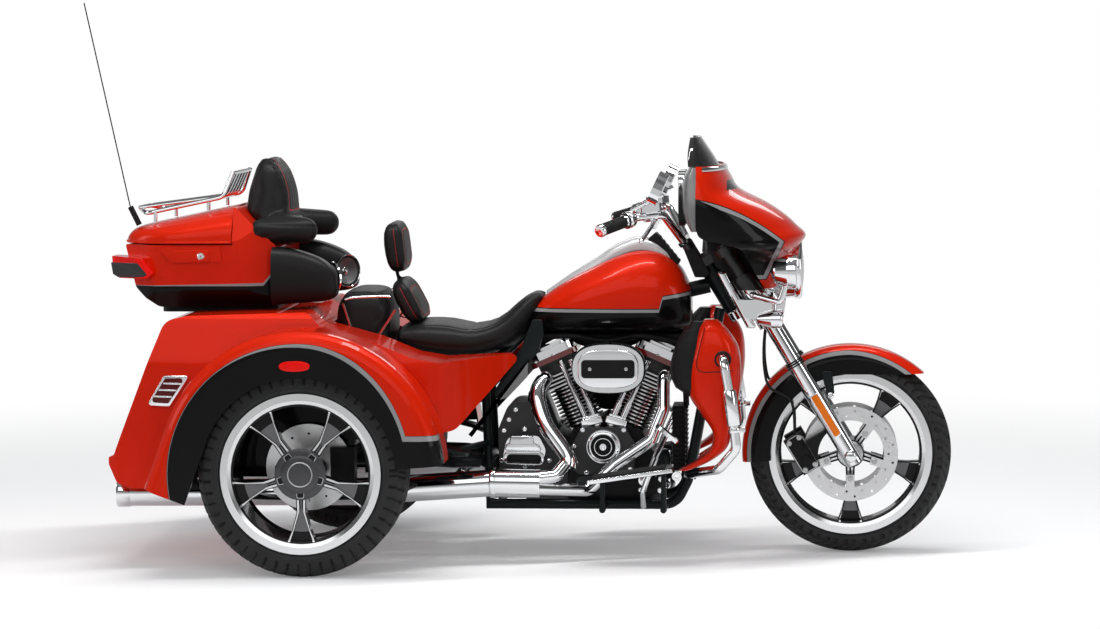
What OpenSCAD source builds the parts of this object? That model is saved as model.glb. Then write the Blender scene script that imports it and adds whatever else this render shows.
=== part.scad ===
// Touring trike with a V-twin engine, a fork-mounted fairing, a top case and a rear trunk.
// Millimetres, +X forward, +Y to the rider's left, +Z up, floor at zero.
// Pieces are drawn from the rear axle's foot and moved so that the whole is centred.

/* [Wheels] */
// Distance between the axles
wheelbase = 1670; // [1550:5:1800]
// Outer radius of the front tyre
front_tyre_r = 319; // [300:1:335]
// Width of the front tyre
front_tyre_w = 130; // [110:1:140]
// Bead radius of the front rim
front_rim_r = 241; // [225:1:250]
// Outer radius of a rear tyre
rear_tyre_r = 318; // [305:1:330]
// Width of a rear tyre
rear_tyre_w = 215; // [195:1:230]
// Bead radius of a rear rim
rear_rim_r = 229; // [210:1:238]
// Middle plane to the middle of a rear tyre
half_track = 545; // [535:1:560]
// Spokes in each wheel
spokes = 5; // [4:1:7]
// Outer radius of a front brake disc
front_disc_r = 150; // [135:1:155]
// Outer radius of a rear brake disc
rear_disc_r = 134; // [125:1:140]

/* [Steering] */
// Lean of the steering axis from upright
rake = 31; // [28:0.5:33]
// Fork legs ahead of the steering axis
fork_offset = 75; // [65:1:85]
// Middle plane to a fork leg
fork_half = 115; // [112:1:125]
// Radius of a fork slider
slider_r = 28; // [24:0.5:30]
// Radius of the steering stem
stem_r = 20; // [17:0.5:24]
// Radius of the front axle
front_axle_r = 12.5; // [10:0.5:14]
// Front fender's crown radius
front_fender_r = 343; // [338:1:352]
// Front fender's half width
front_fender_half = 81; // [78:0.5:84]

/* [Rear body] */
// Middle plane to the trunk's side
body_half = 485; // [470:1:495]
// Crown radius of a rear fender
rear_fender_r = 437; // [425:1:450]
// Middle plane to a rear fender's outer face
fender_half = 690; // [670:1:710]
// Radius of the opening in a rear fender
fender_open_r = 297; // [285:1:310]
// Thickness of fender and body panels
panel = 5; // [4:0.5:8]
// Half width of the rear door
door_half = 389; // [340:1:395]
// Height of the rear door along its slope
door_height = 380; // [330:1:385]
// Thickness of the rear door
door_thick = 25; // [18:1:30]

/* [Top case] */
// Half width of the top case
case_half = 300; // [280:1:310]
// Height of the seam between base and lid
seam_z = 998; // [985:1:1005]
// Wall of the top case and its lid
case_wall = 6; // [4:0.5:9]
// Radius of the hinge pins
hinge_r = 4; // [3:0.5:5]
// Radius of the luggage rack's tubes
rack_r = 7; // [5:0.5:9]

/* [Engine] */
// Lean of each cylinder from upright
vee_half = 23.5; // [20:0.5:25]
// Radius of the cylinder fins
fin_r = 66; // [60:1:70]
// Fins on each cylinder
fins = 11; // [8:1:13]
// Radius of the mufflers
muffler_r = 42; // [36:1:44]

/* [Hidden] */
$fn = 48;
PART_NAME = "motorized trike";

// Fits
seat_gap = 0.3;
run_gap = 0.05;
move_gap = 5.4;

// Places from the rear axle's foot
antenna_tip = [-744, -150, 1757];
x_shift = -(wheelbase + front_tyre_r + antenna_tip[0] - 2) / 2;
front_axle = [wheelbase, 0, front_tyre_r];
rear_axle_z = rear_tyre_r;
crank = [897, 0, 250];
spindle_r = 22;
axle_tube_r = 38;

// Colours
red = [0.55, 0.02, 0.03];
black = [0.03, 0.03, 0.03];
chrome = [0.82, 0.83, 0.85];
grey = [0.45, 0.46, 0.48];
dark = [0.13, 0.13, 0.14];
rubber = [0.05, 0.05, 0.05];
lens_red = [0.5, 0.02, 0.02];
smoke = [0.2, 0.18, 0.18];

// Vector helpers
function unit(v) = v / norm(v);
function spow(v, e) = sign(v) * pow(abs(v), 2 / e);
function arc(c, r, a0, a1, n) = [for (i = [0:n])
    c + r * [cos(a0 + (a1 - a0) * i / n), sin(a0 + (a1 - a0) * i / n)]];

// Rows of [x, y, corner radius] to an outline with round corners
function corner(a, p, b, r, n) =
    let (u = unit(a - p), v = unit(b - p), half = acos(u * v) / 2)
    r == 0 ? [p] :
    let (t = r / tan(half), c = p + unit(u + v) * r / sin(half))
    let (s = p + u * t - c, e = p + v * t - c, a0 = atan2(s[1], s[0]), d = atan2(e[1], e[0]) - a0)
    let (turn = d > 180 ? d - 360 : d < -180 ? d + 360 : d)
    arc(c, r, a0, a0 + turn, n);
function rounded(rows, n = 5) =
    let (m = len(rows), at = function (i) [rows[(i + m) % m][0], rows[(i + m) % m][1]])
    [for (i = [0:m - 1]) each corner(at(i - 1), at(i), at(i + 1), rows[i][2], n)];

// Smooth value of column c at x, from rows sorted by their first column
function span(rows, x, i = 0) = i >= len(rows) - 2 || x <= rows[i + 1][0] ? i : span(rows, x, i + 1);
function slope(rows, i, c) =
    let (a = max(i - 1, 0), b = min(i + 1, len(rows) - 1))
    (rows[b][c] - rows[a][c]) / (rows[b][0] - rows[a][0]);
function smooth(rows, x, c) =
    let (i = span(rows, x), h = rows[i + 1][0] - rows[i][0], t = (x - rows[i][0]) / h)
    let (p = rows[i][c], q = rows[i + 1][c], m0 = slope(rows, i, c) * h, m1 = slope(rows, i + 1, c) * h)
    p * (1 + 2 * t) * (1 - t) * (1 - t) + m0 * t * (1 - t) * (1 - t)
    + q * t * t * (3 - 2 * t) - m1 * t * t * (1 - t);

// Closed skin over convex rings
module skin(rings) {
    n = len(rings[0]);
    m = len(rings);
    polyhedron(
        points = [for (r = rings) each r],
        faces = concat(
            [for (i = [0:m - 2], j = [0:n - 1])
                each [[i * n + j, i * n + n + j, i * n + n + (j + 1) % n],
                      [i * n + j, i * n + n + (j + 1) % n, i * n + (j + 1) % n]]],
            [[for (j = [0:n - 1]) j]],
            [[for (j = [n - 1:-1:0]) (m - 1) * n + j]]));
}

// Closed skin over rings that go out along one side and back along the other
module sheet_skin(rings) {
    n = len(rings[0]);
    m = len(rings);
    k = n / 2;
    polyhedron(
        points = [for (r = rings) each r],
        faces = concat(
            [for (i = [0:m - 2], j = [0:n - 1])
                each [[i * n + j, i * n + n + j, i * n + n + (j + 1) % n],
                      [i * n + j, i * n + n + (j + 1) % n, i * n + (j + 1) % n]]],
            [for (j = [0:k - 2]) each [[j, j + 1, n - 2 - j], [j, n - 2 - j, n - 1 - j]]],
            [for (j = [0:k - 2]) let (o = (m - 1) * n)
                each [[o + j, o + n - 2 - j, o + j + 1], [o + j, o + n - 1 - j, o + n - 2 - j]]]));
}

// Ring across X: half width, top, bottom, share of the height where it is widest, squareness
function ring_x(x, w, top, bottom, share, e, n) =
    let (mid = bottom + share * (top - bottom))
    [for (j = [0:n - 1]) let (a = 360 * j / n, s = sin(a))
        [x, w * spow(cos(a), e), mid + (s > 0 ? top - mid : mid - bottom) * spow(s, e)]];

// Ring across Z: rear, front, inner and outer side, squareness
function ring_z(z, x0, x1, y0, y1, e, n) =
    [for (j = [0:n - 1]) let (a = 360 * j / n)
        [(x0 + x1) / 2 + (x1 - x0) / 2 * spow(cos(a), e),
            (y0 + y1) / 2 + (y1 - y0) / 2 * spow(sin(a), e), z]];

// Round rod between two points
module rod(p, q, r) {
    d = q - p;
    translate(p) rotate([0, acos(d[2] / norm(d)), atan2(d[1], d[0])]) cylinder(h = norm(d), r = r);
}

// Round tube along points, with a bend of one radius at each point between.
// A bend is a hair thicker than the straight tubes, which reach one millimetre into it.
bend_bead = 0.15;
module bent_tube(path, r, bend) {
    last = len(path) - 1;
    cut = [for (i = [0:last])
        i == 0 || i == last ? 0 :
        let (u = unit(path[i] - path[i - 1]), v = unit(path[i + 1] - path[i])) bend * tan(acos(u * v) / 2)];
    for (i = [0:last - 1]) {
        u = unit(path[i + 1] - path[i]);
        rod(path[i] + u * (cut[i] - (i == 0 ? 0 : 1)),
            path[i + 1] - u * (cut[i + 1] - (i == last - 1 ? 0 : 1)), r);
    }
    for (i = [1:1:last - 1]) {
        u = unit(path[i] - path[i - 1]);
        v = unit(path[i + 1] - path[i]);
        turn = acos(u * v);
        c = path[i] + unit(v - u) * bend / cos(turn / 2);
        sx = unit(path[i] - u * cut[i] - c);
        sz = unit(cross(u, v));
        multmatrix([[sx[0], u[0], sz[0], c[0]], [sx[1], u[1], sz[1], c[1]], [sx[2], u[2], sz[2], c[2]],
            [0, 0, 0, 1]])
            rotate_extrude(angle = turn) translate([bend, 0]) circle(r = r + bend_bead);
    }
}

// Right side as drawn, left side by mirror
module both_sides() {
    children();
    mirror([0, 1, 0]) children();
}

// Solids cut from a side outline (x, z), a plan outline (x, y) and a rear outline (y, z)
module side_prism(points, half) {
    rotate([90, 0, 0]) linear_extrude(2 * half, center = true) polygon(points);
}
module plan_prism(points, z0, z1) {
    translate([0, 0, z0]) linear_extrude(z1 - z0) polygon(points);
}
module rear_prism(points, x0, x1) {
    translate([x0, 0, 0]) rotate([90, 0, 90]) linear_extrude(x1 - x0) polygon(points);
}
function mirrored(points) = concat(points,
    [for (i = [len(points) - 1:-1:0]) [points[i][0], -points[i][1], points[i][2]]]);
function mirrored_y(points) = concat(points,
    [for (i = [len(points) - 1:-1:0]) [-points[i][0], points[i][1], points[i][2]]]);

// Frame with its origin on the steering axis at the foot of the fork offset
steer_foot = front_axle - fork_offset * [cos(rake), 0, sin(rake)];
function steer(p) = steer_foot + [p[0] * cos(rake) - p[2] * sin(rake), p[1],
    p[0] * sin(rake) + p[2] * cos(rake)];
module in_steer() {
    translate(steer_foot) rotate([0, -rake, 0]) children();
}

// Wheel turned about Y through a point
module about_y(p) {
    translate(p) rotate([90, 0, 0]) children();
}

// Tyre ring: outer radius, bead radius, width, rim width, shoulder radius
module tyre_ring(r, bead, w, rim_w, shoulder) {
    lip = bead + 17;
    rows = [
        [bead + seat_gap, -rim_w / 2 + seat_gap, 0], [lip + seat_gap, -rim_w / 2 + seat_gap, 0],
        [lip + 8, -w / 2, 10], [r - shoulder * 0.55, -w / 2, 12], [r, -w / 2 + shoulder, shoulder],
        [r, w / 2 - shoulder, shoulder], [r - shoulder * 0.55, w / 2, 12], [lip + 8, w / 2, 10],
        [lip + seat_gap, rim_w / 2 - seat_gap, 0], [bead + seat_gap, rim_w / 2 - seat_gap, 0]
    ];
    rotate_extrude($fn = 96) polygon(rounded(rows, 4));
}

// Spoke outline pointing along +X: forked bar that widens to the rim
function spoke_rows(r0, r1, w0, w1) =
    [[r0, -w0], [r1 * 0.55, -w0 * 0.85], [r1 * 0.8, -w1 * 0.62], [r1, -w1], [r1, w1],
        [r1 * 0.8, w1 * 0.62], [r1 * 0.55, w0 * 0.85], [r0, w0]];

module wheel_spokes(r0, r1, w0, w1, y0, y1, first) {
    for (i = [0:spokes - 1])
        rotate([0, 0, first + 360 * i / spokes]) difference() {
            translate([0, 0, y0]) linear_extrude(y1 - y0) polygon(spoke_rows(r0, r1, w0, w1));
            translate([0, 0, y1 - 6]) linear_extrude(7)
                polygon(spoke_rows(r1 * 0.5, r1 - 6, w0 * 0.45, w1 * 0.78));
            translate([0, 0, y0 - 1]) linear_extrude(7)
                polygon(spoke_rows(r1 * 0.5, r1 - 6, w0 * 0.45, w1 * 0.78));
        }
}

module rim_ring(bead, rim_w) {
    lip = bead + 17;
    h = rim_w / 2;
    rotate_extrude($fn = 96) polygon([
        [bead - 22, -h], [bead - 4, -h - 9], [lip, -h - 9], [lip, -h], [bead, -h], [bead, h], [lip, h],
            [lip, h + 9],
        [bead - 4, h + 9], [bead - 22, h], [bead - 16, h - 22], [bead - 16, -h + 22]]);
}

// FRONT WHEEL
front_rim_w = 89;
front_disc_y = 72;
front_disc_t = 5;
boss_r = 79;

module front_wheel() {
    color(grey) about_y(front_axle) difference() {
        union() {
            rim_ring(front_rim_r, front_rim_w);
            wheel_spokes(30, front_rim_r - 14, 15, 44, -17, 17, -90);
            cylinder(r = 44, h = 140, center = true);
            for (i = [0:spokes - 1])
                rotate(-90 + 360 * i / spokes) translate([boss_r, 0, 0])
                    cylinder(r = 11, h = 2 * front_disc_y, center = true);
        }
        cylinder(r = front_axle_r + seat_gap, h = 200, center = true);
    }
}

module front_tyre() {
    color(rubber) about_y(front_axle) tyre_ring(front_tyre_r, front_rim_r, front_tyre_w, front_rim_w, 52);
}

module brake_disc(r, inner, tab_r, holes) {
    difference() {
        union() {
            cylinder(r = r, h = front_disc_t);
            children();
        }
        difference() {
            translate([0, 0, -1]) cylinder(r = inner, h = front_disc_t + 2);
            for (i = [0:spokes - 1])
                rotate(-90 + 360 * i / spokes) translate([tab_r - 12, -13, -2])
                    cube([inner - tab_r + 20, 26, front_disc_t + 4]);
        }
        for (i = [0:holes - 1], k = [0:1])
            rotate(360 * (i + k / 2) / holes) translate([inner + (r - inner) * (0.33 + 0.36 * k), 0, -1])
                cylinder(r = 4, h = front_disc_t + 2, $fn = 16);
    }
}

module front_discs() {
    color(chrome) translate(front_axle) both_sides()
        translate([0, -front_disc_y, 0]) rotate([90, 0, 0])
            brake_disc(front_disc_r, front_disc_r - 44, boss_r, 15);
}

// REAR WHEELS
rear_rim_w = 178;
rear_hub_in = 452;
rear_disc_y = 446;

module rear_wheel(side) {
    translate([0, side * half_track, rear_axle_z]) rotate([side * -90, 0, 0]) difference() {
        union() {
            rim_ring(rear_rim_r, rear_rim_w);
            wheel_spokes(50, rear_rim_r - 14, 17, 46, rear_rim_w / 2 - 38, rear_rim_w / 2 - 4,
                side > 0 ? 90 : -90);
            translate([0, 0, rear_hub_in - half_track])
                cylinder(r = 62, h = rear_rim_w / 2 - 4 - rear_hub_in + half_track);
            translate([0, 0, rear_rim_w / 2 - 5]) cylinder(r = 76, h = 10);
        }
        translate([0, 0, -200]) cylinder(r = spindle_r + seat_gap, h = 250);
    }
}
module rear_wheel_right() { color(grey) rear_wheel(-1); }
module rear_wheel_left() { color(grey) rear_wheel(1); }

module rear_tyre(side) {
    about_y([0, side * half_track, rear_axle_z])
        tyre_ring(rear_tyre_r, rear_rim_r, rear_tyre_w, rear_rim_w, 34);
}
module rear_tyre_right() { color(rubber) rear_tyre(-1); }
module rear_tyre_left() { color(rubber) rear_tyre(1); }

module rear_disc(side) {
    translate([0, side * rear_disc_y, rear_axle_z]) rotate([side * -90, 0, 0]) difference() {
        cylinder(r = rear_disc_r, h = rear_hub_in - rear_disc_y);
        translate([0, 0, -1]) cylinder(r = spindle_r + move_gap, h = 20);
        for (i = [0:11]) rotate(30 * i) translate([104, 0, -1]) cylinder(r = 4, h = 20, $fn = 16);
    }
}
module rear_disc_right() { color(chrome) rear_disc(-1); }
module rear_disc_left() { color(chrome) rear_disc(1); }

// STEERED PIECES
lower_clamp_z = 545;
upper_clamp_z = 742;
clamp_t = 28;
bar_local = [-26, 0, 850];

module clamp_plate(z, back) {
    translate([0, 0, z]) linear_extrude(clamp_t) {
        translate([fork_offset - 36, -fork_half]) square([72, 2 * fork_half]);
        translate([0, -60]) square([fork_offset, 120]);
        circle(r = 34);
        translate([-back, -60]) square([back, 120]);
        for (s = [-1, 1]) translate([fork_offset, s * fork_half]) circle(r = 40);
    }
}

module fork() {
    color(chrome) {
        in_steer() {
            both_sides() {
                translate([fork_offset, -fork_half, -30]) cylinder(r = slider_r, h = 370);
                translate([fork_offset, -fork_half, 330])
                    cylinder(r = slider_r - 4, h = upper_clamp_z - 320);
                translate([fork_offset, -fork_half, lower_clamp_z - 60]) cylinder(r = 38, h = 60);
                translate([fork_offset, -fork_half, lower_clamp_z + clamp_t]) cylinder(r = 36, h = 90);
                translate([fork_offset, -fork_half, upper_clamp_z + clamp_t]) cylinder(r = 22, h = 8);
                translate([bar_local[0], -45, upper_clamp_z + 2])
                    cylinder(r = 17, h = bar_local[2] - upper_clamp_z - 15.1);
            }
            clamp_plate(lower_clamp_z, 1);
            clamp_plate(upper_clamp_z, 45);
            translate([0, 0, lower_clamp_z + 2])
                cylinder(r = stem_r, h = upper_clamp_z - lower_clamp_z + 4);
        }
        about_y(front_axle) cylinder(r = front_axle_r, h = 2 * fork_half, center = true);
        both_sides() translate([front_axle[0], -fork_half - slider_r + 6, front_axle[2]])
            rotate([90, 0, 0]) cylinder(r = 19, h = 12);
    }
}

module front_fender() {
    half = front_fender_half;
    rows = mirrored([
        [front_fender_r - 92, -half, 0], [front_fender_r - 42, -half, 30],
            [front_fender_r, -half + 24, 45], [front_fender_r, -10, 0]]);
    inner = mirrored([
        [front_fender_r - 93, -half + 3, 0], [front_fender_r - 43, -half + 3, 28],
            [front_fender_r - 3, -half + 26, 43], [front_fender_r - 3, -10, 0]]);
    color(red) {
        about_y(front_axle) rotate(46) rotate_extrude(angle = 139) difference() {
            polygon(rounded(rows, 4));
            polygon(rounded(inner, 4));
        }
        both_sides() in_steer() translate([fork_offset - 20, -fork_half + slider_r + seat_gap, 255])
            cube([40, fork_half - slider_r - half + 2 - seat_gap, 40]);
    }
}

// Front caliper behind each leg: the slot takes the disc
module front_calipers() {
    color(black) both_sides() in_steer() difference() {
        union() {
            translate([fork_offset - 160, -front_disc_y - 24, 18]) cube([62, 44, 125]);
            translate([fork_offset - 100, -fork_half - 8, 40]) cube([100 - slider_r - seat_gap, 34, 70]);
        }
        translate([fork_offset, -front_disc_y + move_gap, 0]) rotate([90, 0, 0])
            cylinder(r = front_disc_r + move_gap, h = front_disc_t + 2 * move_gap);
        translate([fork_offset, 0, 0]) rotate([90, 0, 0])
            cylinder(r = front_disc_r - 48, h = 300, center = true);
    }
}

module handlebar() {
    bar = steer(bar_local);
    half = [grip_to, grip_from, [-57, -262, 92], [0, -112, 0]];
    color(chrome) bent_tube([for (s = [1, -1], i = [0:3]) let (p = half[s > 0 ? i : 3 - i])
        bar + [p[0], s * p[1], p[2]]], 12.7, 40);
}

// Grips over the bar's ends, with the controls clamped inboard of them
grip_from = [-141, -302, 84];
grip_to = [-240, -430, 50];
module grips() {
    bar = steer(bar_local);
    a = bar + grip_from;
    b = bar + grip_to;
    d = unit(b - a);
    color(black) both_sides() difference() {
        union() {
            rod(a + d * 46, b + d * 6, 18);
            rod(a + d * 20, a + d * 46, 24);
        }
        rod(a, b + d * seat_gap, 12.7 + seat_gap);
    }
}

// Brake and clutch levers, each with its perch and fluid cup on the bar
lever_path = [[-84, -290, 70], [-88, -332, 60], [-116, -432, 17]];
module hand_controls() {
    bar = steer(bar_local);
    a = bar + grip_from;
    e = bar + [-57, -262, 92];
    u = unit(e - a);
    color(chrome) both_sides() {
        difference() {
            union() {
                rod(a + u * 30, a + u * 70, 19);
                rod(a + u * 58, bar + lever_path[0] + [0, -3, 0], 8.5);
                translate(a + u * 50) rotate([0, -5, atan2(u[1], u[0])]) translate([-34, -24, 13])
                    linear_extrude(24) polygon(rounded([
                    [0, 0, 10], [68, 0, 10], [68, 48, 10], [0, 48, 10]], 3));
            }
            rod(a + u * 10, a + u * 90, 12.7 + seat_gap);
        }
        bent_tube([for (p = lever_path) bar + p], 6.5, 30);
        translate(bar + lever_path[2]) sphere(r = 8);
    }
}

module mirrors() {
    bar = steer(bar_local);
    a = bar + grip_from;
    d = unit(grip_to - grip_from);
    color(chrome) both_sides() {
        rod(a + d * 30 + [9, 0, 29], [wheelbase - 575, -345, 1150], 6);
        translate([wheelbase - 578, -350, 1165]) rotate([0, 25, 0]) rotate([0, -90, 0])
            linear_extrude(30) polygon([for (j = [0:23]) [52 * spow(cos(15 * j), 2.6),
                78 * spow(sin(15 * j), 2.6)]]);
    }
}

// Fairing rows: height, nose, rear edge, half width; x from the front axle
fairing_rows = [
    [848, -230, -268, 150], [900, -192, -298, 178], [945, -176, -322, 215], [985, -154, -352, 318],
    [1011, -140, -452, 346], [1040, -168, -475, 356], [1069, -199, -477, 361], [1110, -259, -477, 362],
    [1156, -348, -477, 354], [1200, -377, -476, 338], [1236, -397, -477, 318]];
fairing_t = 4;

function wing(z, inset, a) =
    let (nose = smooth(fairing_rows, z, 1) - inset, rear = smooth(fairing_rows, z, 2),
        half = smooth(fairing_rows, z, 3) - inset)
    [wheelbase + rear + (nose - rear) * spow(cos(a), 2.1), half * spow(sin(a), 2.2), z];

module fairing_shell() {
    n = 24;
    levels = concat([848, 874, 900, 926, 951, 975, 998],
        [1012, 1026, 1040, 1055, 1069, 1090, 1110, 1133, 1156, 1178, 1200, 1218, 1236]);
    sheet_skin([for (z = levels) concat(
        [for (j = [0:n]) wing(z, 0, -90 + 180 * j / n)],
        [for (j = [n:-1:0]) wing(z, fairing_t, -90 + 180 * j / n)])]);
}

lamp_z = front_tyre_r + 582;
lamp_r = 92;
module fairing() {
    color(red) difference() {
        fairing_shell();
        translate([wheelbase - 300, 0, lamp_z]) rotate([0, 90, 0]) cylinder(r = lamp_r + seat_gap, h = 300);
    }
}

// Dashboard side of the fairing, inside its shell
module inner_fairing() {
    n = 20;
    front_ledge = 72;
    rear_x = -477;
    bulge = [[1036, 20], [1080, 44], [1140, 52], [1195, 46], [1232, 24]];
    inset = fairing_t + 1.5;
    color(grey) {
        sheet_skin([for (i = [0:10]) let (z = 1036 + 196 * i / 10) concat(
            [for (j = [0:n]) let (p = wing(z, inset, -90 + 180 * j / n)) [min(p[0],
                wheelbase + rear_x + front_ledge), p[1], z]],
            [for (j = [n:-1:0]) let (a = -90 + 180 * j / n, p = wing(z, inset, a))
                [wheelbase + rear_x - 2 - smooth(bulge, z, 1) * pow(max(cos(a), 0), 0.4), p[1], z]])]);
        in_steer() translate([12, 0, upper_clamp_z + clamp_t + seat_gap]) cylinder(r = 20, h = 14);
        rod(steer([12, 0, upper_clamp_z + clamp_t + 9]), [wheelbase - 448, 0, 1050], 14);
    }
}

module windshield() {
    n = 16;
    rows = [[1232, -412, -500, 232], [1262, -430, -502, 214], [1292, -450, -500, 184],
        [1322, -470, -496, 138]];
    color(smoke) sheet_skin([for (z = [1232 + seat_gap, 1247, 1262, 1277, 1292, 1307, 1322]) concat(
        [for (j = [0:n]) let (a = -90 + 180 * j / n)
            [wheelbase + smooth(rows, z, 2) + (smooth(rows, z, 1) - smooth(rows, z, 2)) * spow(cos(a),
                2), smooth(rows, z, 3) * sin(a), z]],
        [for (j = [n:-1:0]) let (a = -90 + 180 * j / n)
            [wheelbase + smooth(rows, z, 2) - 4 + (smooth(rows, z, 1) - smooth(rows, z,
                2)) * spow(cos(a), 2), (smooth(rows, z, 3) - 3) * sin(a), z]])]);
}

module headlamp() {
    color(chrome) translate([wheelbase - 149, 0, lamp_z]) rotate([0, -90, 0]) rotate_extrude()
        polygon(rounded([
        [0, 0, 0], [40, 1, 0], [78, 9, 20], [86, 16, 0], [lamp_r, 18, 3], [lamp_r, 62, 30],
            [52, 105, 20], [0, 105, 0]], 4));
}

// Bar behind the passing lamps, with a foot against each fork cover
fog = [wheelbase - 168, -208, front_tyre_r + 586];
signal = [wheelbase - 212, -205, front_tyre_r + 436];
signal_r = 27;
module lamp_bar() {
    foot = steer([fork_offset, -fork_half - 36 - seat_gap, lower_clamp_z + 50]);
    arm = foot + [0, -26, 0];
    elbow = fog + [-52, 0, -98];
    color(chrome) both_sides() {
        bent_tube([foot, arm, elbow, fog + [-40, 0, -60]], 10, 14);
        rod(arm + 0.78 * (elbow - arm), signal + [-24, 0, signal_r + 0.9], 7);
        translate([wheelbase, -fork_half - 40 - seat_gap, front_tyre_r]) rotate([90, 0, 0])
            linear_extrude(21) polygon(rounded([
            [-360, 495, 6], [-200, 495, 10], [-206, 464, 16], [-251, 426, 20], [-329, 439, 16]], 3));
    }
}

module front_lamps() {
    color(chrome) both_sides() {
        translate(fog) rotate([0, -90, 0]) rotate_extrude() polygon(rounded([
            [0, 0, 0], [44, 4, 10], [53, 8, 3], [53, 28, 20], [34, 72, 20], [0, 82, 0]], 4));
        translate(signal) rotate([0, -90, 0]) rotate_extrude() polygon(rounded([
            [0, 0, 0], [22, 3, 8], [signal_r, 8, 3], [signal_r, 34, 14], [14, 78, 10], [0, 82, 0]], 4));
        rod(fog + [-39.8, 0, -59.4], fog + [-27.8, 0, -21.4], 9);
    }
}

// FRAME AND RUNNING GEAR
rail_half = 135;
rail_z = 165;
seat_rail_z = 603;
seat_rail_half = 105;
tube_r = 16;
head_from = lower_clamp_z + clamp_t + 3;
head_to = upper_clamp_z - 3;

backbone_front = steer([-34, 0, head_to - 55]);
backbone_rear = [640, 0, 716];
backbone_r = 24;
function backbone_z(x) =
    let (rise = backbone_front - backbone_rear)
    backbone_rear[2] + (x - backbone_rear[0]) * rise[2] / rise[0];

// Down tube on the right: its ends, and the point of its axis at a height
down_top = steer([-42, -26, head_from + 28]);
down_foot = [down_top[0] - 100, -118, 240];
function down_tube(z) =
    down_foot + (down_top - down_foot) * (z - down_foot[2]) / (down_top[2] - down_foot[2]);

module frame() {
    color(black) {
        difference() {
            union() {
                in_steer() translate([0, 0, head_from]) cylinder(r = 36, h = head_to - head_from);
                rod(backbone_front, backbone_rear, backbone_r);
                both_sides() {
                    bent_tube([down_top, down_foot, [1120, -rail_half, rail_z],
                        [520, -rail_half, rail_z]], tube_r, 60);
                    bent_tube([[650, -6, 714], [540, -seat_rail_half, seat_rail_z],
                        [-121.6, -seat_rail_half, seat_rail_z]], tube_r, 60);
                    rod([532, -rail_half, rail_z + 4], [514, -seat_rail_half, seat_rail_z - 6],
                        tube_r - 2.5);
                }
                rod([560, -rail_half, rail_z], [560, rail_half, rail_z], tube_r - 4);
                rod([516, -114, 300], [516, 114, 300], 22);
                rod([90, -seat_rail_half, seat_rail_z], [90, seat_rail_half, seat_rail_z], tube_r - 4);
            }
            in_steer() translate([0, 0, head_from - 20])
                cylinder(r = stem_r + run_gap, h = head_to - head_from + 40);
        }
    }
}

module swingarm() {
    color(black) both_sides() {
        bent_tube([[516 - 22 - seat_gap, -120, 300], [430, -160, 304],
            [axle_tube_r + seat_gap, -160, rear_axle_z]], 22, 40);
        rod([70, -160, rear_axle_z + 10], [120, -158, seat_rail_z + 8], 30);
        rod([120, -150, seat_rail_z], [120, -seat_rail_half - tube_r - seat_gap, seat_rail_z], 12);
    }
}

module rear_axle() {
    color(dark) {
        about_y([0, 0, rear_axle_z]) {
            cylinder(r = axle_tube_r, h = 2 * 436, center = true);
            cylinder(r = spindle_r, h = 2 * (half_track + 45), center = true);
            cylinder(r = 96, h = 120, center = true);
        }
        both_sides() translate([-20, -150, rear_axle_z + axle_tube_r - 6]) cube([40, 60, 30]);
    }
}

module rear_calipers() {
    color(black) both_sides() translate([0, 0, rear_axle_z]) difference() {
        union() {
            translate([70, -480, -45]) cube([75, 62, 110]);
            translate([axle_tube_r + seat_gap, -436, -30]) cube([60, 22, 60]);
        }
        translate([0, -rear_disc_y + move_gap, 0]) rotate([90, 0, 0])
            cylinder(r = rear_disc_r + move_gap, h = rear_hub_in - rear_disc_y + 2 * move_gap);
        translate([0, -438, 0]) rotate([90, 0, 0]) cylinder(r = 66 + move_gap, h = 60);
    }
}

// ENGINE
module engine_case() {
    color(black) difference() {
        union() {
            side_prism(rounded([
                [775, 170, 20], [1040, 170, 40], [1062, 300, 50], [1000, 420, 30], [897, 446, 10],
                    [800, 420, 30], [775, 350, 20]], 4), 108);
            base = rail_half - tube_r - seat_gap;
            translate([640, -base, 154]) cube([440, 2 * base, 20]);
        }
        for (s = [-1, 1]) translate(crank) rotate([0, s * vee_half, 0]) translate([0, 0, 176])
            cylinder(r = 200, h = 300);
    }
}

module cylinders() {
    pitch = 12;
    color(dark) for (s = [-1, 1]) translate(crank) rotate([0, s * vee_half, 0]) {
        translate([0, 0, 176 + seat_gap]) cylinder(r = 50, h = 224);
        for (i = [0:fins - 1]) translate([0, 0, 184 + pitch * i]) cylinder(r = fin_r, h = 4);
        for (i = [0:3]) translate([-70, -84, 184 + pitch * (fins + i)]) cube([140, 168, 4.5]);
        translate([-60, -60, 184 + pitch * fins]) cube([120, 120, 216 - pitch * fins + seat_gap]);
    }
}

module rocker_covers() {
    color(chrome) for (s = [-1, 1]) translate(crank) rotate([0, s * vee_half, 0])
        translate([0, 0, 400 + 2 * seat_gap]) {
        linear_extrude(16) polygon(rounded([[-78, -92, 18], [78, -92, 18], [78, 92, 18], [-78, 92, 18]],
            4));
        translate([0, 0, 16]) linear_extrude(26)
            polygon(rounded([[-70, -84, 22], [70, -84, 22], [70, 84, 22], [-70, 84, 22]], 4));
        translate([0, 0, 42]) linear_extrude(9)
            polygon(rounded([[-52, -66, 20], [52, -66, 20], [52, 66, 20], [-52, 66, 20]], 4));
    }
}

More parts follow.
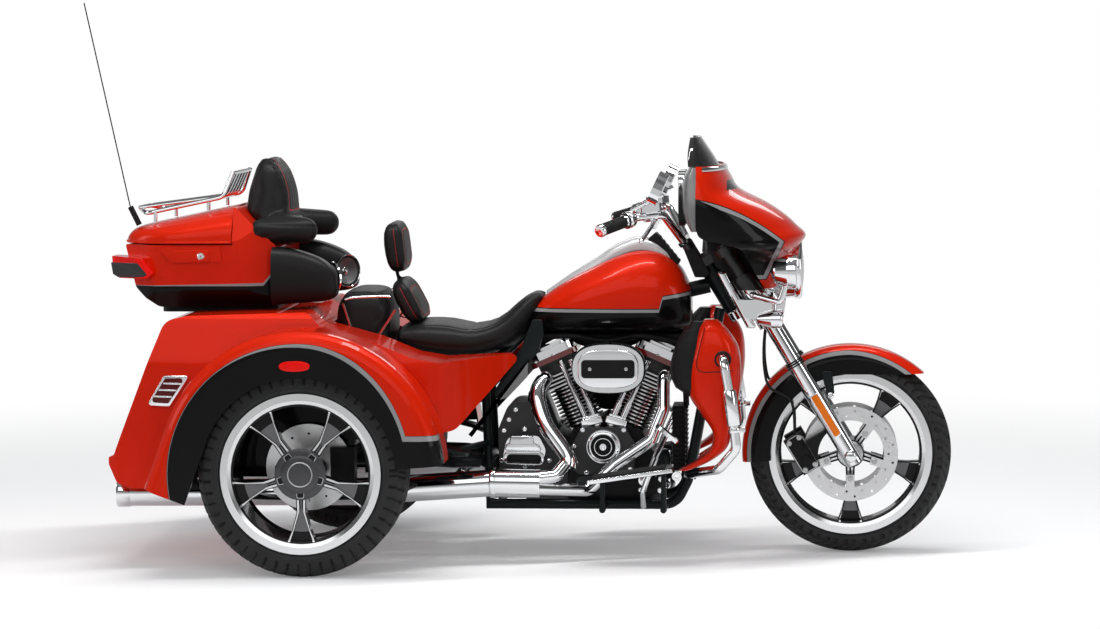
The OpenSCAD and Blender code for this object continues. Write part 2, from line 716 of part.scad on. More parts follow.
module cam_cover() {
    color(chrome) {
        side = -108 - seat_gap;
        translate([894, side, 352]) rotate([90, 0, 0]) {
            cylinder(r = 52, h = 78);
            translate([0, 0, 78]) cylinder(r = 40, h = 6);
        }
        translate([0, side, 0]) rotate([90, 0, 0]) linear_extrude(58) polygon(rounded([
            [800, 262, 30], [985, 262, 30], [1000, 350, 40], [962, 412, 25], [826, 412, 25],
                [790, 350, 40]], 4));
    }
}

module pushrod_tubes() {
    color(chrome) for (s = [-1, 1]) {
        for (k = [[22, 108, 620], [54, 140, 616]]) {
            foot = [894 + s * k[0], -128, 424];
            head = [894 + s * k[1], -101, k[2]];
            rod(foot, head, 8.5);
            rod(foot + 0.08 * (head - foot), foot + 0.3 * (head - foot), 10.5);
            translate([foot[0], foot[1], 412 + seat_gap]) cylinder(r = 13.5, h = 24);
        }
    }
}

module air_cleaner() {
    color(chrome) translate([912, 0, 600]) {
        translate([0, -150, 0]) rotate([90, 0, 0]) {
            linear_extrude(52) polygon([for (j = [0:35]) [112 * spow(cos(10 * j), 2.5),
                76 * spow(sin(10 * j), 2.5)]]);
            translate([0, 0, 52]) linear_extrude(10)
                polygon([for (j = [0:35]) [96 * spow(cos(10 * j), 2.5), 61 * spow(sin(10 * j), 2.5)]]);
        }
        translate([-15, -5, -12]) rotate([90, 0, 0]) cylinder(r = 26, h = 146);
        translate([-15, -30, -12]) rotate([90, 0, 0]) cylinder(r = 34, h = 20);
    }
    // Manifold arms with a flange on each head
    color(chrome) for (s = [-1, 1]) {
        port = crank + [s * (378 * sin(vee_half) - 68 * cos(vee_half)), -24,
            378 * cos(vee_half) + 68 * sin(vee_half)];
        translate(crank) rotate([0, s * vee_half, 0]) translate([-s * (60 + seat_gap), -24, 378])
            rotate([0, -s * 90, 0]) cylinder(r = 20, h = 9);
        rod(port, [897 + s * 8, -24, 600], 11);
    }
}

module gearbox() {
    color(black) {
        side_prism(rounded([[560, 210, 20], [774.7, 210, 8], [774.7, 330, 20], [736, 388, 20],
            [690, 486, 30], [592, 486, 40], [556, 400, 40]], 4), 108);
        translate([0, -108, 0]) rotate([90, 0, 0]) linear_extrude(60) polygon(rounded([
            [572, 296, 18], [700, 290, 30], [712, 340, 30], [690, 385, 20], [590, 384, 30]], 4));
    }
}

module primary_cover() {
    color(chrome) translate([0, 108 + seat_gap, 0]) rotate([-90, 0, 0]) mirror([0, 1, 0])
        linear_extrude(88) polygon(rounded([
        [560, 215, 60], [960, 215, 75], [985, 330, 75], [940, 420, 60], [600, 400, 70], [545, 300, 70]],
            6));
}

// Exhaust: two header pipes on the right, a collector, a cross pipe and two mufflers
module exhaust() {
    rear_header = [[712, -84.5, 566], [712, -150, 566], [690, -200, 520], [716, -236, 430],
        [790, -262, 318],
        [752, -292, 272], [690, -300, 266]];
    front_header = [[1084, -84.5, 572], [1084, -146, 572], [1084, -180, 470], [1046, -200, 376],
        [930, -215, 296],
        [850, -240, 222], [690, -300, 234]];
    color(chrome) {
        bent_tube(rear_header, 21, 30);
        bent_tube(front_header, 20, 30);
        rod([704, -300, 250], [548, -300, 252], muffler_r + 2);
        both_sides() bent_tube([[562, -300, 252], [130, -326, 226], [-618, -346, 224]], muffler_r, 300);
        bent_tube([[430, -296, 236], [400, -200, 214], [400, 200, 214], [430, 296, 236]], 20, 40);
    }
}

// TANK, SEATS
// Tank rows: x, half width, top, bottom
tank_rows = [[660, 92, 788, 708], [740, 130, 848, 702], [850, 156, 910, 700], [980, 168, 964, 700],
    [1070, 162, 958, 701], [1135, 134, 908, 706], [1168, 92, 846, 716]];
module tank_skin(grow) {
    n = 28;
    skin([for (i = [0:16]) let (x = 660 + 508 * i / 16, k = i == 0 ? -grow : i == 16 ? grow : 0)
        ring_x(x + k, smooth(tank_rows, x, 1) + grow, smooth(tank_rows, x, 2) + grow,
            smooth(tank_rows, x, 3) - grow, 0.42, 2.5, n)]);
}
module fuel_tank() {
    color(red) difference() {
        tank_skin(0);
        side_prism([[600, 600], [1300, 600], [1300, backbone_z(1300) + 30],
            [600, backbone_z(600) + 30]], backbone_r + 6);
    }
}

// Console rows: x, half width, top
console_rows = [[706, 26, 834], [790, 42, 892], [876, 50, 945], [930, 53, 981], [1010, 54, 1005],
    [1090, 46, 968], [1136, 34, 904]];
module tank_console() {
    color(grey) difference() {
        skin([for (i = [0:12]) let (x = 706 + 430 * i / 12)
            ring_x(x, smooth(console_rows, x, 1), smooth(console_rows, x, 2),
                smooth(console_rows, x, 2) - 60, 0.5, 3, 16)]);
        tank_skin(seat_gap);
    }
}

// Seat rows: x, half width, top, bottom
seat_rows = [[246, 184, 734, 660], [320, 196, 746, 634], [400, 196, 744, 620], [480, 184, 730, 626],
    [560, 160, 752, 642], [620, 138, 804, 668], [664, 112, 834, 740], [702, 70, 832, 800]];
module seat_skin(grow) {
    skin([for (i = [0:15]) let (x = 246 + 456 * i / 15, k = i == 0 ? -grow : i == 15 ? grow : 0)
        ring_x(x + k, smooth(seat_rows, x, 1) + grow, smooth(seat_rows, x, 2) + grow,
            smooth(seat_rows, x, 3) - grow, 0.5, 3, 24)]);
}
module rider_seat() {
    color(black) difference() {
        seat_skin(0);
        tank_skin(0.6);
        rod([720, 0, backbone_z(720)], [630, 0, backbone_z(630)], backbone_r + seat_gap);
        both_sides() bent_tube([[650, -6, 714], [540, -seat_rail_half, seat_rail_z],
            [60, -seat_rail_half, seat_rail_z]], tube_r + seat_gap, 60);
    }
}

module cushion(x0, x1, half, z0, z1, e) {
    skin([for (i = [0:6]) let (t = -1 + i / 3, k = pow(1 - pow(abs(t) * 0.93, 4), 0.3),
        zm = (z0 + z1) / 2, h = (z1 - z0) / 2)
        ring_x(x0 + (x1 - x0) * (i / 6), half * (0.7 + 0.3 * k), zm + h * k, zm - h * k, 0.5, e, 24)]);
}

module rider_backrest() {
    color(black) {
        difference() {
            translate([272, 0, 735]) rotate([0, -28, 0]) cushion(0, 62, 150, -20, 142, 4);
            seat_skin(seat_gap);
        }
        translate([215, 0, 0]) rotate([0, -7, 0]) translate([100, 0, 0]) cushion(0, 66, 118, 884, 1050, 4);
        rod([248, 0, 800], [220, 0, 910], 9);
    }
}

module passenger_seat() {
    color(black) cushion(52, 212, 190, seat_rail_z + tube_r - 1.2, 850, 5);
}

// TOP CASE
case_side = [[-612, seam_z - 1, 6], [-574, 863, 30], [-544, 836, 20], [-500, 800, 30], [-128, 800, 10],
    [-120, 990, 20], [-250, 1112, 10], [-257, 1112, 0], [-257, seam_z - 1, 0]];
case_plan = [[-700, -150, 0], [-612, -210, 120], [-500, -case_half, 120], [-240, -case_half, 60],
    [-100, -268, 40], [-100, 0, 0]];
case_rear = [[-220, 780, 30], [-292, 850, 30], [-case_half, 950, 0], [-case_half, 1010, 0],
    [-252, 1140, 30], [0, 1160, 0]];

module case_shape(side, grow) {
    intersection() {
        side_prism(rounded(side, 5), case_half + 5);
        plan_prism(rounded(mirrored(case_plan), 6), 700, 1200);
        rear_prism(rounded(mirrored_y(case_rear), 5), -700, 0);
    }
}

lid_hinge = [case_half + 9.5, seam_z + 2];
latch_t = 8;
module top_case() {
    color(red) {
        difference() {
            case_shape(case_side, 0);
            intersection() {
                side_prism([[-596, 1200], [-560, 863], [-530, 820], [-140, 812], [-136, 980],
                    [-262, 980], [-262, 1200]], case_half);
                plan_prism(rounded(mirrored([[-596, -200, 60], [-500, -case_half + case_wall, 100],
                    [-250, -case_half + case_wall, 60], [-140, -case_half + case_wall + 32, 20]]), 5),
                        700, 1200);
                rear_prism([[-215, 806], [-case_half + case_wall + 8, 858],
                    [-case_half + case_wall, 950], [-case_half + case_wall, 1200],
                    [case_half - case_wall, 1200], [case_half - case_wall, 950],
                        [case_half - case_wall - 8, 858], [215, 806]], -700, 0);
            }
        }
        for (x = [-480, -330]) {
            translate([x, case_half - 4, seam_z - 30]) cube([20, lid_hinge[0] - case_half + 4, 30]);
            translate([x, lid_hinge[0], lid_hinge[1]]) rotate([0, 90, 0]) cylinder(r = 8, h = 20);
        }
        translate([-470, lid_hinge[0], lid_hinge[1]]) rotate([0, 90, 0]) cylinder(r = hinge_r, h = 150);
        translate([0, -case_half + 3, 0]) rotate([90, 0, 0]) linear_extrude(latch_t + 3) polygon(rounded([
            [-493, seam_z - 8, 6], [-447, seam_z - 53, 14], [-287, seam_z - 53, 8],
                [-296, seam_z - 4, 8]], 4));
        for (s = [-1, 1], x = [-370, -190])
            translate([x, s * 160 - 20, 787.6 + (x + 330) * 0.0269 + 0.7]) cube([40, 40, 24]);
    }
}

lid_side = [[-616, seam_z + 2, 4], [-596, 1048, 24], [-258, 1118, 0], [-258, seam_z + 2, 0]];
lid_cut = [[-606, seam_z - 10, 0], [-588, 1042, 20], [-264, 1110, 0], [-264, seam_z - 10, 0]];
module top_case_lid() {
    color(red) {
        difference() {
            case_shape(lid_side, 0);
            intersection() {
                side_prism(rounded(lid_cut, 4), case_half);
                plan_prism(rounded([[-602, -200, 60], [-500, -case_half + case_wall, 100],
                    [-200, -case_half + case_wall, 0],
                    [-200, case_half - case_wall, 0], [-500, case_half - case_wall, 100],
                        [-602, 200, 60]], 5), 900, 1200);
                rear_prism(rounded(mirrored_y([[-case_half + case_wall, 980, 0],
                    [-case_half + case_wall, 1010, 0], [-250, 1131, 30], [0, 1150, 0]]), 5), -700, 0);
            }
        }
        for (x = [-455, -385]) difference() {
            union() {
                translate([x, case_half - 4, seam_z + 2]) cube([40, lid_hinge[0] - case_half + 4, 8]);
                translate([x, lid_hinge[0], lid_hinge[1]]) rotate([0, 90, 0]) cylinder(r = 8, h = 40);
            }
            translate([x - 1, lid_hinge[0], lid_hinge[1]]) rotate([0, 90, 0])
                cylinder(r = hinge_r + 0.1, h = 42);
        }
    }
}

// Rack rows: x, y, height over the lid's slope
hoop_x = -272;
hoop_z = 1222;
rack_h = 34;
rack_front = -302;
function deck_z(x) = 1118 + (x + 258) * 70 / 338;
rack_path = [[hoop_x, -168, hoop_z - deck_z(hoop_x)], [rack_front, -186, rack_h], [-550, -172, rack_h],
    [-588, -80, 56],
    [-588, 80, 56], [-550, 172, rack_h], [rack_front, 186, rack_h], [hoop_x, 168, hoop_z - deck_z(hoop_x)]];
module luggage_rack() {
    color(chrome) {
        bent_tube([for (p = rack_path) [p[0], p[1], deck_z(p[0]) + p[2]]], rack_r, 30);
        rod([hoop_x - 2, -167, hoop_z - 5], [hoop_x - 2, 167, hoop_z - 5], rack_r - 1);
        rod([-330, -183, deck_z(-330) + rack_h], [-330, 183, deck_z(-330) + rack_h], rack_r - 1);
        for (y = [-120, -60, 0, 60, 120])
            bent_tube([[-582, y, deck_z(-560) + 52], [rack_front - 6, y, deck_z(rack_front) + rack_h],
                [hoop_x - 2, y, hoop_z - 6]], rack_r - 2, 30);
        for (s = [-1, 1], x = [-350, -520])
            rod([x, s * 180, deck_z(x) + 1.7], [x, s * 180, deck_z(x) + rack_h], rack_r - 1);
    }
}

module antenna() {
    color(black) {
        rod([-578, antenna_tip[1], deck_z(-578) + 2.5], [-606, antenna_tip[1], 1112], 9);
        rod([-606, antenna_tip[1], 1110], antenna_tip, 2);
    }
}

module speaker_pods() {
    color(black) both_sides() difference() {
        skin([for (i = [0:8]) let (x = -136 + 204 * i / 8, t = i / 8)
            [for (p = ring_x(x, 66 - 14 * t, 990 - 66 * t * t, 808 + 12 * t, 0.5, 3, 20))
                p + [0, -264 + 16 * t, 0]]]);
        translate([seat_gap, 0, 0]) case_shape(case_side, 0);
        translate([40, -190, 885]) rotate([0, 0, 40]) rotate([0, 90, 0]) cylinder(r = 52, h = 80);
    }
}

// Passenger backrest rows: height, rear, front, half width
back_rows = [[990, -262, -60, 196], [1040, -262, -72, 190], [1085, -260, -92, 172],
    [1150, -240, -98, 156], [1215, -218, -118, 146],
    [1250, -206, -140, 126], [1268, -196, -158, 96]];
module passenger_backrest() {
    color(black) difference() {
        union() {
            skin([for (i = [0:12]) let (z = 990 + 278 * i / 12)
                ring_z(z, smooth(back_rows, z, 1), smooth(back_rows, z, 2), -smooth(back_rows, z, 3),
                    smooth(back_rows, z, 3), 3.2, 24)]);
            both_sides() hull() {
                translate([-178, -262, 1042]) sphere(r = 38, $fn = 16);
                translate([-34, -250, 1040]) sphere(r = 44, $fn = 16);
                translate([-130, -170, 1050]) sphere(r = 44, $fn = 16);
            }
        }
        translate([-257.5 - 200, -400, 900]) cube([205, 800, 500]);
        case_shape([[-612, 997, 0], [-574, 863, 0], [-128, 800, 0], [-120 + seat_gap, 990.5, 20],
            [-249.5, 1112.5, 10], [-257, 1112.5, 0]], 0);
    }
}

// REAR BODY
rear_lean = 21.2;
door_foot = [-606, 0, 357];
body_side = [[-446, 772, 50], [-606, 357, 8], [-624, 350, 5], [-624, 328, 8], [-596, 270, 30],
    [-556, 256, 15], [-340, 250, 0], [200, 300, 0], [382, 424, 30],
    [452, 430, 40], [634, 636, 14], [606, 652, 20], [409, 643, 60], [323, 658, 60], [206, 706, 60],
        [40, 752, 20], [-4, 796, 30], [-376, 786, 40]];
body_plan = [[-640, -460, 40], [-590, -body_half, 60], [402, -body_half, 70], [560, -310, 120],
    [640, -212, 0], [640, 0, 0]];

module in_door() {
    translate(door_foot) rotate([0, rear_lean, 0]) children();
}

module rear_body() {
    well_in = half_track - rear_tyre_w / 2 - 18;
    color(red) {
        difference() {
            intersection() {
                side_prism(rounded(body_side, 4), body_half + 5);
                plan_prism(rounded(mirrored(body_plan), 6), 200, 900);
                rear_prism(rounded(mirrored_y([[-body_half, 230, 0], [-body_half, 640, 120],
                    [-436, 806, 60], [0, 812, 0]]), 5), -700, 700);
            }
            // Trunk
            intersection() {
                side_prism([[-596, 290], [-132, 290], [-132, 770], [-420, 770]], body_half - 80);
                in_door() translate([door_thick + 6, -500, -200]) cube([800, 1000, 900]);
            }
            // Space over the axle, open below
            intersection() {
                side_prism([[-122, 100], [-122, 774], [-10, 782], [30, 742], [203, 696], [320, 648],
                    [409, 632], [660, 632], [660, 100]], body_half);
                plan_prism([[-122, -410], [340, -410], [437, -405], [548, -300], [650, -190],
                    [650, 190], [548, 300], [437, 405], [340, 410], [-122, 410]], 90, 900);
            }
            translate([46, -203, 100]) cube([700, 406, 900]);
            translate([-700, -body_half + 12, 100]) cube([660, 2 * body_half - 24, 184]);
            // Wheel arches
            both_sides() translate([0, -well_in, rear_axle_z]) rotate([90, 0, 0])
                cylinder(r = rear_tyre_r + 28, h = 300);
            translate([-60, -well_in - 2, 100]) cube([230, 2 * well_in + 4, 300]);
            // Door way
            in_door() translate([-20, -door_half - 3, 5])
                cube([door_thick + 60, 2 * door_half + 6, door_height + 8]);
            both_sides() in_door() translate([0, -305, 2]) rotate([-90, 0, 0]) cylinder(r = 11, h = 90);
        }
        both_sides() in_door() translate([0, -308, 2]) rotate([-90, 0, 0]) cylinder(r = hinge_r, h = 96);
    }
}

module rear_door() {
    color(red) difference() {
        union() {
            in_door() translate([0, -door_half, 10]) cube([door_thick, 2 * door_half, door_height]);
            both_sides() in_door() translate([0, -300, 2]) rotate([-90, 0, 0]) cylinder(r = 8.5, h = 80);
        }
        both_sides() in_door() translate([0, -310, 2]) rotate([-90, 0, 0])
            cylinder(r = hinge_r + 0.1, h = 100);
    }
}

module fender_outline() {
    difference() {
        polygon(rounded([[fender_open_r, body_half + 0.4, 0], [rear_fender_r, body_half + 0.4, 0],
            [rear_fender_r, fender_half, 52], [fender_open_r, fender_half, 0]], 6));
        polygon(rounded([[fender_open_r - 5, body_half - 1, 0],
            [rear_fender_r - panel, body_half - 1, 0], [rear_fender_r - panel, fender_half - panel, 47],
            [fender_open_r - 5, fender_half - panel, 0]], 6));
    }
}

tail_from = 160;
tail_length = 203;
module rear_fenders() {
    color(red) both_sides() about_y([0, 0, rear_axle_z]) {
        rotate(4) rotate_extrude(angle = tail_from - 4, $fn = 96) fender_outline();
        rotate(tail_from) rotate([-90, 0, 0]) mirror([0, 1, 0]) linear_extrude(tail_length)
            fender_outline();
    }
}

module rear_lamps() {
    color(lens_red) both_sides() {
        translate([0, -body_half - seat_gap, 0]) rotate([90, 0, 0]) linear_extrude(14)
            polygon(rounded([[-490, 520, 8], [-426, 516, 8], [-366, 604, 8], [-440, 600, 8]], 3));
        difference() {
            intersection() {
                side_prism(rounded([[-650, 962, 4], [-546, 956, 14], [-505, 910, 6], [-528, 893, 8],
                    [-622, 893, 8], [-642, 906, 4]], 3), case_half + 8);
                plan_prism(rounded([[-500, -case_half - 5, 0], [-556, -case_half - 5, 40],
                    [-650, -246, 20], [-650, -172, 0], [-500, -172, 0]], 4), 880, 980);
            }
            case_shape([[-612 - seat_gap, seam_z - 1, 0], [-574 - seat_gap, 863, 0], [-120, 800, 0],
                [-120, seam_z, 0]], 0);
        }
        translate([-6, -fender_half - seat_gap, 652]) rotate([90, 0, 0]) linear_extrude(6)
            polygon([for (j = [0:23]) [47 * spow(cos(15 * j), 2.4), 16 * spow(sin(15 * j), 2.4)]]);
    }
}

// Bracket for a number plate, with its four screw holes
plate_x = -634;
plate_z = 306;
plate_dx = 146;
plate_dz = 70;
module plate_bracket() {
    color(black) {
        difference() {
            translate([plate_x, -88, plate_z - 48]) cube([3, 176, 96]);
            for (y = [-1, 1], z = [-1, 1])
                translate([plate_x - 1, y * plate_dx / 2, plate_z + z * plate_dz / 2])
                rotate([0, 90, 0]) cylinder(r = 3.3, h = 6);
        }
        for (y = [-40, 40]) translate([plate_x + 2, y, 339]) rotate([0, 90, 0])
            cylinder(r = 7, h = -626 - plate_x - seat_gap);
    }
}

// Lower fairing rows: height, rear, front, inner and outer side; x from the front axle
lower_rows = [[290, -535, -500, 215, 300], [322, -478, -432, 215, 332], [362, -436, -384, 213, 356],
    [412, -428, -370, 210, 370],
    [470, -464, -358, 205, 380], [530, -502, -346, 200, 386], [604, -510, -339, 205, 388],
        [680, -490, -348, 225, 386],
    [738, -470, -384, 255, 368], [764, -452, -410, 280, 335]];
guard_out = 412;
guard_path = [[-508, -134, 262], [-407, -guard_out + 20, 306], [-352, -guard_out, 372],
    [-366, -guard_out, 500], [-392, -guard_out, 648], [-428, -66, 660]];
module guard_tube(r) {
    bent_tube([for (p = guard_path) p + [wheelbase, 0, 0]], r, 34);
}
module lower_skin(rows, z0, z1, steps, grow) {
    skin([for (i = [0:steps]) let (z = z0 + (z1 - z0) * i / steps)
        [for (p = ring_z(z, smooth(rows, z, 1) - grow, smooth(rows, z, 2) + grow,
            -smooth(rows, z, 4) - grow, -smooth(rows, z, 3) + grow, 2.6, 20))
            p + [wheelbase, 0, 0]]]);
}
module lower_fairings() {
    color(red) both_sides() difference() {
        lower_skin(lower_rows, 290, 764, 16, 0);
        guard_tube(tube_r - 0.5);
    }
}

// Storage pod behind each lower fairing, in rows as above
pod_rows = [[524, -500, -440, 240, 346], [552, -543, -440, 226, 362], [600, -560, -440, 216, 368],
    [660, -550, -440, 218, 368],
    [717, -527, -440, 236, 358], [757, -488, -440, 272, 332]];
module lower_pods() {
    color(black) both_sides() difference() {
        lower_skin(pod_rows, 524, 757, 8, 0);
        lower_skin(lower_rows, 290, 764, 16, seat_gap);
    }
}

// A clamp round the down tube at each end of the guard
module engine_guard() {
    color(chrome) both_sides() {
        guard_tube(tube_r - 1);
        for (z = [262, 660]) difference() {
            rod(down_tube(z - 17), down_tube(z + 17), tube_r + 9);
            rod(down_tube(z - 40), down_tube(z + 40), tube_r + seat_gap);
        }
    }
}

module footboards() {
    color(black) both_sides() {
        translate([824, -395, 252]) rotate([0, -8.3, 0]) linear_extrude(14)
            polygon(rounded([[0, 20, 20], [60, 0, 40], [300, 0, 40], [300, 125, 20], [0, 125, 20]], 4));
        for (x = [900, 1090]) {
            rod([x, -345, rail_z + 8], [x, -rail_half - tube_r - seat_gap, rail_z], 10);
            rod([x, -332, rail_z + 6], [x, -332, 258 + (x - 824) * 0.146], 8);
        }
        translate([372, -400, 372]) rotate([0, 14, 0]) linear_extrude(12)
            polygon(rounded([[0, 0, 20], [120, 0, 30], [120, 80, 10], [0, 80, 10]], 4));
        rod([432, -370, 358], [522, -136.3, 358], 10);
    }
}

module foot_controls() {
    color(chrome) both_sides() {
        bent_tube([[1020, -rail_half - tube_r - seat_gap, rail_z], [1020, -184, rail_z],
            [1020, -238, 215], [1062, -252, 330], [1098, -304, 404]], 9, 14);
        translate([1098, -318, 404]) rotate([0, 40, 0]) linear_extrude(12)
            polygon([for (j = [0:23]) [44 * spow(cos(15 * j), 2.2), 24 * spow(sin(15 * j), 2.2)]]);
    }
}

translate([x_shift, 0, 0]) {
    frame();
    engine_case();
    cylinders();
    rocker_covers();
    pushrod_tubes();
    cam_cover();
    air_cleaner();
    gearbox();
    primary_cover();
    exhaust();
    fuel_tank();
    tank_console();
    rider_seat();
    rider_backrest();
    passenger_seat();
    passenger_backrest();
    top_case();
    speaker_pods();
    rear_body();
    rear_fenders();
    rear_lamps();
    rear_axle();
    swingarm();
    rear_calipers();
    lower_fairings();
    lower_pods();
    engine_guard();
    footboards();
    foot_controls();
    fork();
    lamp_bar();
    handlebar();
    grips();
    hand_controls();
    mirrors();
    fairing();
    inner_fairing();
    windshield();
    headlamp();
    front_lamps();
    front_fender();
    front_calipers();
    front_wheel();
    front_tyre();
    front_discs();
    rear_wheel_right();
    rear_tyre_right();
    rear_disc_right();
    rear_wheel_left();
    rear_tyre_left();
    rear_disc_left();
    top_case_lid();
    luggage_rack();
    antenna();
    rear_door();
    plate_bracket();
}
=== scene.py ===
"""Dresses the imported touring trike: paint, chrome, leather, tyres, lamps and small trim."""

import math

import bmesh
import bpy
import numpy as np
from bpy.props import FloatProperty, FloatVectorProperty, IntProperty, PointerProperty
from mathutils import Matrix, Vector
from mathutils.bvhtree import BVHTree


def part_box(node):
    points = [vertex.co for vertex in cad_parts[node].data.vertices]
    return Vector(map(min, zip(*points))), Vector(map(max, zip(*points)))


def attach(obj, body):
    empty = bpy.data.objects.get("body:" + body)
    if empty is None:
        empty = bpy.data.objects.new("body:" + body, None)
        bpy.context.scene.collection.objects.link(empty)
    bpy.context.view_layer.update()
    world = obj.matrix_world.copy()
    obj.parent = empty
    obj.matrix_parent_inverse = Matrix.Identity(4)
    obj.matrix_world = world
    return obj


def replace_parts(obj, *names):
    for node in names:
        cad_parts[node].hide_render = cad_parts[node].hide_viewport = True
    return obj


bl_info = {
    "name": "Touring Trike Dressing",
    "version": (1, 0, 0),
    "blender": (4, 5, 0),
    "location": "3D View > Sidebar > Trike",
    "description": "Adds paint, upholstery, tyres, lamps and trim to the packed trike",
    "category": "Object",
}

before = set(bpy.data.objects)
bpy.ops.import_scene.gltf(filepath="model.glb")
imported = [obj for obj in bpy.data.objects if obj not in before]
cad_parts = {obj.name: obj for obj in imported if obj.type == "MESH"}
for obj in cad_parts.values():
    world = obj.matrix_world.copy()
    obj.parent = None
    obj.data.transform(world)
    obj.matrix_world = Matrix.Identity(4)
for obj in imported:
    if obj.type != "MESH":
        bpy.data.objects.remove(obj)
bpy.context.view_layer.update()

MM = 0.001
AHEAD = (1, 0, 0)
BACK = (-1, 0, 0)
LEFT = (0, 1, 0)
RIGHT = (0, -1, 0)
UP = (0, 0, 1)
DOWN = (0, 0, -1)
NO_CAPS = (False, False)
MERGE = 0.00002
CHROME = (0.83, 0.84, 0.855)
COAT_IOR = 1.17
STEER_OFFSET = 75.0
AXLE_X = sum(corner.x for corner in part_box("rear_tyre_right")) / 2
WHEELBASE = 1670.0
FRONT_R = 319.0
REAR_R = 318.0
RAKE = math.radians(31)
CRANK = (897.0, 250.0)
VEE = math.radians(23.5)


def at(x, y, z):
    """Point in metres from millimetres ahead of the rear axle, to the left, and above the floor."""
    return Vector((AXLE_X + x * MM, y * MM, z * MM))


def steer(x, y, z):
    """Point from millimetres in the steering head's own frame: ahead of its axis, to the left, along it."""
    c, s = math.cos(RAKE), math.sin(RAKE)
    foot_x, foot_z = WHEELBASE - STEER_OFFSET * c, FRONT_R - STEER_OFFSET * s
    return at(foot_x + x * c - z * s, y, foot_z + x * s + z * c)


# Sizes and colours that a user may change


class TrikeColours(bpy.types.PropertyGroup):
    """Colours of the trike's finishes."""

    paint: FloatVectorProperty(
        name="Paint", description="Main body colour", subtype="COLOR", size=3, min=0, max=1,
        default=(0.66, 0.016, 0.0008))
    dark: FloatVectorProperty(
        name="Dark panels", description="Lower panels and frame", subtype="COLOR", size=3, min=0, max=1,
        default=(0.0035, 0.0035, 0.0038))
    stripe: FloatVectorProperty(
        name="Stripe", description="Stripe between paint and dark panels", subtype="COLOR", size=3, min=0,
        max=1,
        default=(0.30, 0.30, 0.305))
    silver: FloatVectorProperty(
        name="Silver", description="Tank console and dashboard", subtype="COLOR", size=3, min=0, max=1,
        default=(0.66, 0.66, 0.665))
    leather: FloatVectorProperty(
        name="Leather", description="Seat covers", subtype="COLOR", size=3, min=0, max=1,
        default=(0.010, 0.010, 0.0105))
    thread: FloatVectorProperty(
        name="Thread", description="Contrast stitching", subtype="COLOR", size=3, min=0, max=1,
        default=(0.55, 0.03, 0.02))


class TrikeSizes(bpy.types.PropertyGroup):
    """Sizes of the trim that the CAD model leaves out."""

    tread_depth: FloatProperty(
        name="Tread depth", description="Depth of the tyre grooves", unit="LENGTH", min=0.001, max=0.009,
        default=0.0055)
    tread_steps: IntProperty(
        name="Tread steps", description="Steps round a tyre", min=120, max=720, default=504)
    stitch_pitch: FloatProperty(
        name="Stitch pitch", description="Distance from stitch to stitch", unit="LENGTH", min=0.003,
        max=0.02,
        default=0.0075)
    bolt_head: FloatProperty(
        name="Bolt head", description="Radius of the engine's cover bolts", unit="LENGTH", min=0.002,
        max=0.01,
        default=0.0058)
    swell: FloatProperty(
        name="Swell", description="Most that a pad's cover may move outwards", unit="LENGTH", min=0.001,
        max=0.03,
        default=0.007)


def colours():
    return bpy.context.scene.trike_colours


def sizes():
    return bpy.context.scene.trike_sizes


# Shader maths


class Value:
    """Shader socket whose arithmetic adds Math nodes."""

    def __init__(self, finish, socket):
        self.finish = finish
        self.socket = socket

    def math(self, operation, a, b=None):
        return self.finish.node("ShaderNodeMath", {"operation": operation}, {0: a, 1: b})

    def __add__(self, other):
        return self.math("ADD", self, other)

    def __radd__(self, other):
        return self.math("ADD", other, self)

    def __sub__(self, other):
        return self.math("SUBTRACT", self, other)

    def __rsub__(self, other):
        return self.math("SUBTRACT", other, self)

    def __mul__(self, other):
        return self.math("MULTIPLY", self, other)

    def __rmul__(self, other):
        return self.math("MULTIPLY", other, self)

    def __truediv__(self, other):
        return self.math("DIVIDE", self, other)

    def __neg__(self):
        return self.math("MULTIPLY", self, -1.0)

    def __abs__(self):
        return self.math("ABSOLUTE", self)

    def least(self, other):
        return self.math("MINIMUM", self, other)

    def most(self, other):
        return self.math("MAXIMUM", self, other)

    def root(self):
        return self.math("SQRT", self)

    def above(self, edge, soft=1.0):
        """1 where the value is past the edge, with a soft step of that width."""
        return self.ramp(edge - soft / 2, edge + soft / 2)

    def ramp(self, low, high, first=0.0, last=1.0):
        return self.finish.node(
            "ShaderNodeMapRange", {"clamp": True}, {0: self, 1: low, 2: high, 3: first, 4: last})


